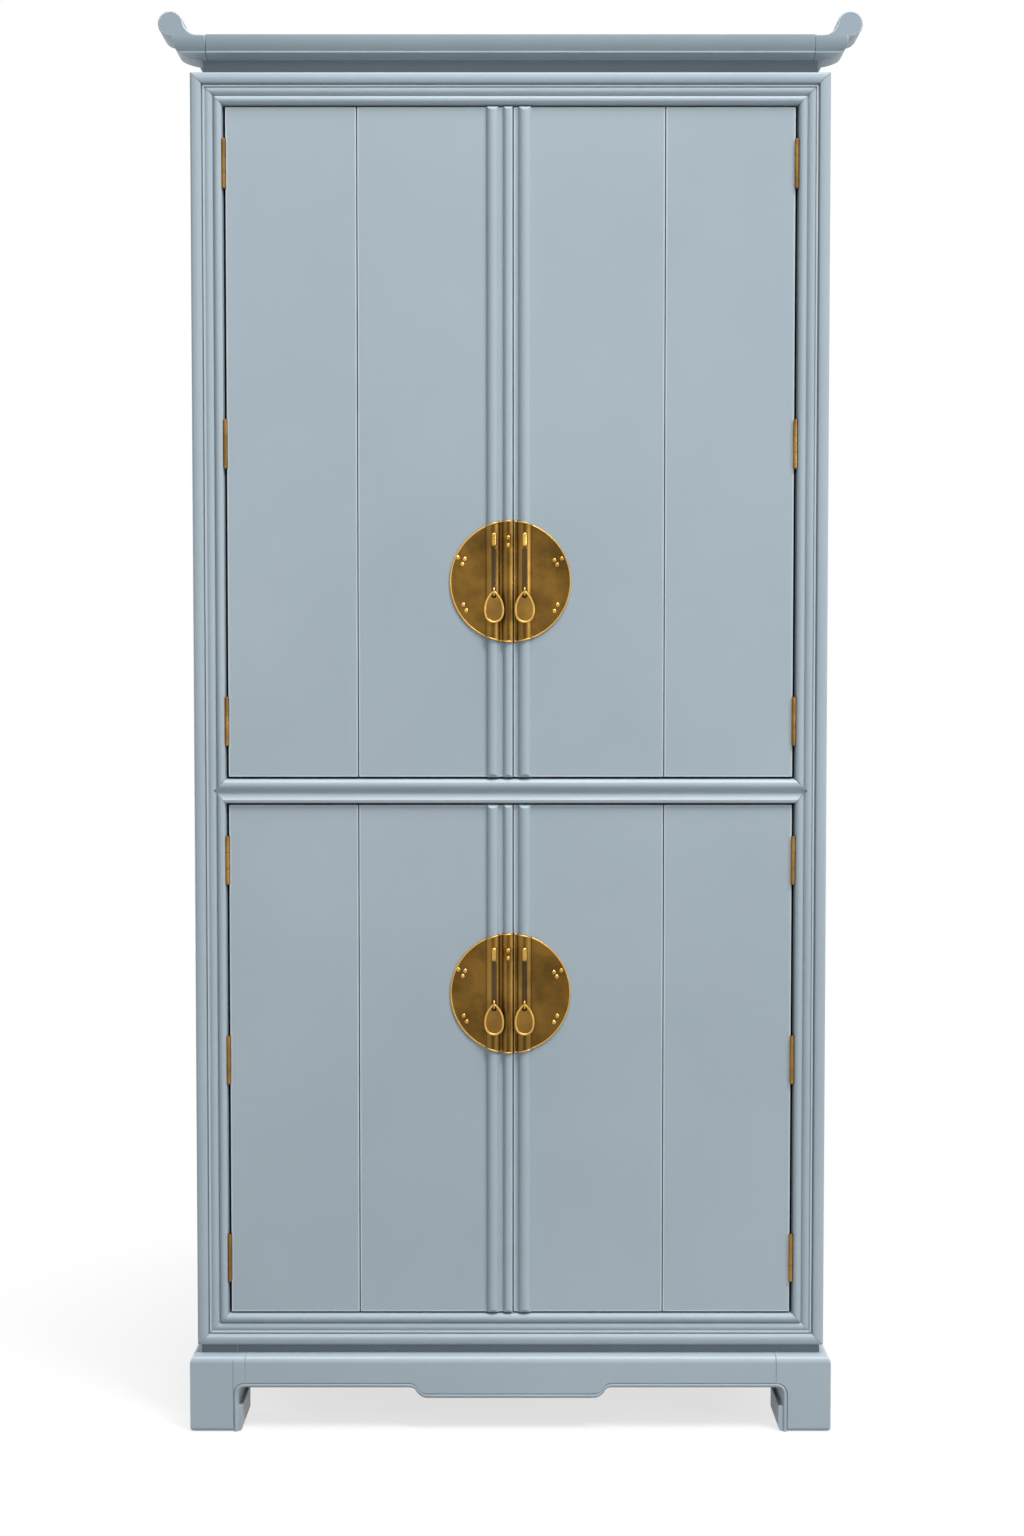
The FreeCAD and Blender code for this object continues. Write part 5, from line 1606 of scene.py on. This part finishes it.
# %% [markdown]
# The front apron is the overlap of its front outline and its nosed section. The side aprons are
# that section carried from leg to leg, and the rear one is a plain board. The front and the sides
# have the same band for a bead as the legs, and all end a hair short of them.

# %% Aprons
APRON_THICK, APRON_EASED, REAR_EASED = 24.0, 0.7, 1.5
EDGE_SHY, APRON_SHY = 0.25, 0.55

end = JOINT_X - APRON_SHY
past = end + SPARE
apron = front_cut("apron_front_board", drop_edge(0.0, end) + [(end, BASE_TOP), (-end, BASE_TOP)],
                  (BASE_FRONT, BASE_FRONT + APRON_THICK))
carve(apron, side_cut("nose", nosed(BASE_FRONT, BASE_FRONT + APRON_THICK, 0.0), (-past, past)),
      operation="INTERSECT")
soften(apron, APRON_EASED)
carve(apron, front_cut("band", drop_edge(BEAD_WIDE, past) + [(past, 0.0), (-past, 0.0)],
                       (BASE_FRONT - SPARE, BASE_FRONT + BEAD_SINK)))
# A painted highlight runs along the turn of the nose.
highlight_strip(apron, lambda at: at[2], NOSE_LINE)
settle(apron, "cabinet", "paint", PAINT["X"], "apron_front")

rear = board("apron_rear_board", (-end, end), (BASE_REAR - APRON_THICK, BASE_REAR),
             (ARCH_Z, BASE_TOP))
settle(soften(rear, REAR_EASED, 3), "cabinet", "paint", PAINT["X"], "apron_rear")

near, far = BASE_FRONT + LEG_DEEP + EDGE_SHY, BASE_REAR - LEG_DEEP - EDGE_SHY
flank = front_cut("apron_left_board", nosed(-BASE_HALF, -BASE_HALF + APRON_THICK, ARCH_Z),
                  (near, far))
soften(flank, APRON_EASED)
carve(flank, board("band", (-BASE_HALF - SPARE, -BASE_HALF + BEAD_SINK),
                   (near - SPARE, far + SPARE), (ARCH_Z - SPARE, ARCH_Z + BEAD_WIDE)))
# A painted highlight runs along the turn of the nose.
highlight_strip(flank, lambda at: at[2], NOSE_LINE)
flank_right = copied(flank, "apron_right_board", turned_over=True)
for piece, side in ((flank, "left"), (flank_right, "right")):
    settle(piece, "cabinet", "paint", PAINT["Y"], f"apron_{side}")

# %% [markdown]
# One bead follows the whole lower edge: up from the floor along a leg, round into the apron,
# down and up over the drop, and down the other leg. It is made like the plate's rim, along the
# middle of the band, and is painted paler where it faces up, as a painted highlight.

# %% Bead along the base
BEAD_MIDDLE, BEAD_R, BEAD_FOOT = BEAD_WIDE / 2, 3.2, 0.6
BEAD_HIGHLIGHT, BEAD_UPWARD = 0.8, 0.3


def bead_line(width):
    """The middle of the bead on a leg, from the floor to the apron."""
    arch, middle = (width, ARCH_Z - ARCH_R), ARCH_R + BEAD_MIDDLE
    return [(width - middle, BEAD_FOOT), (width - middle, arch[1]),
            (on_circle(arch, middle, 135), (width, ARCH_Z + BEAD_MIDDLE))]


leg_line = trace(moved(bead_line(LEG_WIDE), lambda a, z: (a - BASE_HALF, z)))
other_line = [(-x, z) for x, z in reversed(leg_line)]
front_line = leg_line + trace(drop_edge(BEAD_MIDDLE))[1:-1] + other_line
bead = wire("base_front_bead", [place(x, BASE_FRONT + BEAD_R, z) for x, z in front_line], BEAD_R)
# Painted highlight on the faces that look up.
mark_wear_and_highlight(bead, BEAD_HIGHLIGHT, lambda face: face.normal.z > BEAD_UPWARD)
settle(bead, "cabinet", "paint", PAINT["X"])

near_line = trace(moved(bead_line(LEG_DEEP), lambda a, z: (a + BASE_FRONT, z)))
far_line = trace(moved(bead_line(LEG_DEEP), lambda a, z: (BASE_REAR - a, z)))
flank_line = near_line + list(reversed(far_line))
bead_left = wire("base_left_bead", [place(-BASE_HALF + BEAD_R, t, z) for t, z in flank_line],
                 BEAD_R)
bead_right = copied(bead_left, "base_right_bead", turned_over=True)
for piece in (bead_left, bead_right):
    settle(piece, "cabinet", "paint", PAINT["Y"])

# %% [markdown]
# Between base and carcass runs a narrow waist, set back so that it lies in shadow. Above the
# carcass a neck does the same under the top. Both are also painted darker, as painted shade.
# Each is four rails in a ring. The waist's rails go between the posts on the legs, the neck's
# end rails between its front and rear ones.

# %% Waist and neck
WAIST_THICK = 30.0
NECK_TOP, NECK_BACK, NECK_THICK, NECK_EASED = 2036.5, 17.0, 20.0, 0.6


def rail_ring(name, long_half, half, depths, gap, thick, heights):
    """A front and a rear rail and two end rails, these short of both depths by a gap."""
    (front, rear), between = depths, (depths[0] + gap, depths[1] - gap)
    return join(name, [board("rail", (-long_half, long_half), (front, front + thick), heights),
                       board("rail", (-long_half, long_half), (rear - thick, rear), heights),
                       board("rail", (-half, -half + thick), between, heights),
                       board("rail", (half - thick, half), between, heights)])


# Waist and neck are painted darker, as painted shade.
waist = rail_ring("waist_strips", POST_INNER - EDGE_SHY, POST_OUTER, (WAIST_FRONT, WAIST_REAR),
                  POST_DEEP + EDGE_SHY, WAIST_THICK, (BASE_TOP, FLOOR_Z))
settle(soften(waist, WAIST_EASED), "cabinet", "paint", PAINTED_SHADE, "waist_rails")
neck = rail_ring("neck_strips", HALF - NECK_BACK, HALF - NECK_BACK,
                 (NECK_BACK, BACK_REAR - NECK_BACK), NECK_THICK, NECK_THICK, (TOP_Z, NECK_TOP))
settle(soften(neck, NECK_EASED), "cabinet", "paint", PAINTED_SHADE, "neck_rails")

# %% [markdown]
# The top is a frame round a flush panel. Its front edge is one moulding: a face that turns
# under, a fillet and a hollow beneath. It is drawn from the side, to be carried across.

# %% Edge of the top
SLAB_TOP, SLAB_FRONT = 2068.5, -5.0
SLAB_ROUND, FACE_TURN, FACE_SAG = 1.4, 5.5, 0.24
LEDGE_TOP, LEDGE_SLOPE, LEDGE_LOW, LEDGE_BACK = 2044.8, 0.3, 2042.4, 3.2
HOLLOW = 1.2


def slab_edge(height, inner_depth, rounded):
    """The front edge of the top from the side, with a round or an open upper corner."""
    turned, ledge = SLAB_FRONT + FACE_TURN, SLAB_FRONT + LEDGE_BACK
    corner = (SLAB_FRONT + SLAB_ROUND, SLAB_TOP - SLAB_ROUND)
    top = [(SLAB_FRONT, height), (SLAB_FRONT, corner[1])]
    if rounded:
        top = [(corner[0], height), (on_circle(corner, SLAB_ROUND, 135), (SLAB_FRONT, corner[1]))]
    return top + [
        ((SLAB_FRONT + FACE_TURN * FACE_SAG, (corner[1] + LEDGE_TOP) / 2), (turned, LEDGE_TOP)),
        (ledge, LEDGE_TOP - LEDGE_SLOPE), (ledge, LEDGE_LOW),
        (((ledge + NECK_BACK) / 2, (LEDGE_LOW + NECK_TOP) / 2 + HOLLOW), (NECK_BACK, NECK_TOP)),
        (inner_depth, NECK_TOP), (inner_depth, height)]


print("the top is", SLAB_TOP - NECK_TOP, "mm thick")

# %% [markdown]
# At both ends of the front a scroll sweeps up from the flat into a rolled knob. Its front view is
# a chain of arcs that meet smoothly, worked out from the knob, the wall below it and the point
# where the sweep leaves the flat.

# %% Outline of the scrolls
SLAB_JOINT = 446.0
KNOB_R, KNOB_X, KNOB_Z = 18.5, 496.5, 2083.5
SWEEP_X, WALL_X, BELLY_R, BELLY_Z = 457.5, 493.5, 17.0, 2059.0
SLOPE, FOOT_X = (483.4, 2043.5), 450.5


def flange_outline():
    """The right scroll from the front."""
    knob, belly = (KNOB_X, KNOB_Z), (WALL_X - BELLY_R, BELLY_Z)
    notch = (WALL_X, KNOB_Z - math.sqrt(KNOB_R ** 2 - (KNOB_X - WALL_X) ** 2))
    dx, dz = KNOB_X - SWEEP_X, KNOB_Z - SLAB_TOP
    sweep_r = (dx ** 2 + dz ** 2 - KNOB_R ** 2) / (2 * (KNOB_R + dz))
    sweep = (SWEEP_X, SLAB_TOP + sweep_r)
    meet = on_circle(knob, KNOB_R, bearing(knob, sweep))
    slope = bearing(belly, SLOPE)
    slope_end = on_circle(belly, BELLY_R, slope)
    run, rise = slope_end[0] - FOOT_X, slope_end[1] - NECK_TOP
    foot_r = (run ** 2 + rise ** 2) / (2 * rise)
    foot = (FOOT_X, NECK_TOP + foot_r)
    return [(SLAB_JOINT, NECK_TOP), (FOOT_X, NECK_TOP),
            (on_circle(foot, foot_r, (bearing(foot, slope_end) - 90) / 2), slope_end),
            (on_circle(belly, BELLY_R, slope / 2), (WALL_X, BELLY_Z)), notch,
            ((KNOB_X + KNOB_R, KNOB_Z), (KNOB_X, KNOB_Z + KNOB_R)),
            (on_circle(knob, KNOB_R, (90 + bearing(knob, meet)) / 2), meet),
            (on_circle(sweep, sweep_r, (bearing(sweep, meet) - 90) / 2), (SWEEP_X, SLAB_TOP)),
            (SLAB_JOINT, SLAB_TOP)]


print("a scroll's outline has", len(trace(flange_outline())), "points")

# %% [markdown]
# The front rail carries its edge across between the scrolls, a hair short of them, and plain
# rails close the other sides. A scroll is its front outline as deep as the rail, trimmed by the
# same edge from the side, so that the moulding runs on into it.

# %% Top
SLAB_RAIL, SLAB_END, PANEL_THICK = 60.0, 462.0, 20.0
SCROLL_GAP, KNOB_ROUND = 0.6, 2.2
RAIL_EASED, PANEL_EASED, SCROLL_EASED, SCROLL_SHARP = 0.5, 0.6, 0.4, 45

end = SLAB_JOINT - SCROLL_GAP
front_inner, rear_inner = SLAB_FRONT + SLAB_RAIL, BACK_REAR - SLAB_RAIL
rails = [side_cut("rail", slab_edge(SLAB_TOP, front_inner - EDGE_SHY, True), (-end, end)),
         board("rail", (-end, end), (rear_inner + EDGE_SHY, BACK_REAR), (NECK_TOP, SLAB_TOP))]
rails += [board("rail", sorted((way * SLAB_JOINT, way * SLAB_END)),
                (front_inner + EDGE_SHY, BACK_REAR), (NECK_TOP, SLAB_TOP)) for way in (-1, 1)]
# The top's rails, panel and scrolls are painted darker than the doors, as painted shade.
settle(soften(join("top_edge_rails", rails), RAIL_EASED), "cabinet", "paint", SHADED_TOP_PAINT,
       "top_rails")
panel = board("top_flush_panel", (-end, end), (front_inner, rear_inner),
              (SLAB_TOP - PANEL_THICK, SLAB_TOP))
settle(soften(panel, PANEL_EASED), "cabinet", "paint", SHADED_TOP_PAINT, "top_panel")

flange = front_cut("flange_right_scroll", flange_outline(), (SLAB_FRONT, front_inner))
soften(flange, KNOB_ROUND, 4)
carve(flange, side_cut("edge", slab_edge(KNOB_Z + KNOB_R + SPARE, front_inner + SPARE, False),
                       (SLAB_JOINT - SPARE, KNOB_X + KNOB_R + SPARE)), operation="INTERSECT")
saw(flange, place(SLAB_JOINT, 0, 0), (-1, 0, 0))
flange_left = copied(flange, "flange_left_scroll", turned_over=True)
for piece, side in ((flange, "right"), (flange_left, "left")):
    settle(soften(piece, SCROLL_EASED, 2, SCROLL_SHARP), "cabinet", "paint", SHADED_TOP_PAINT,
           f"flange_{side}")

# %% [markdown]
# The dressed cabinet should stay as large as the solid model, no more and no less. How far its
# low corner has moved from the solid model's is printed.

# %% Size and finish
dressed_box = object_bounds()
grown = [round((b - a) / MM, 2) for a, b in zip(cad_box[0], dressed_box[0])]
print("low corner moved by", grown, "mm")
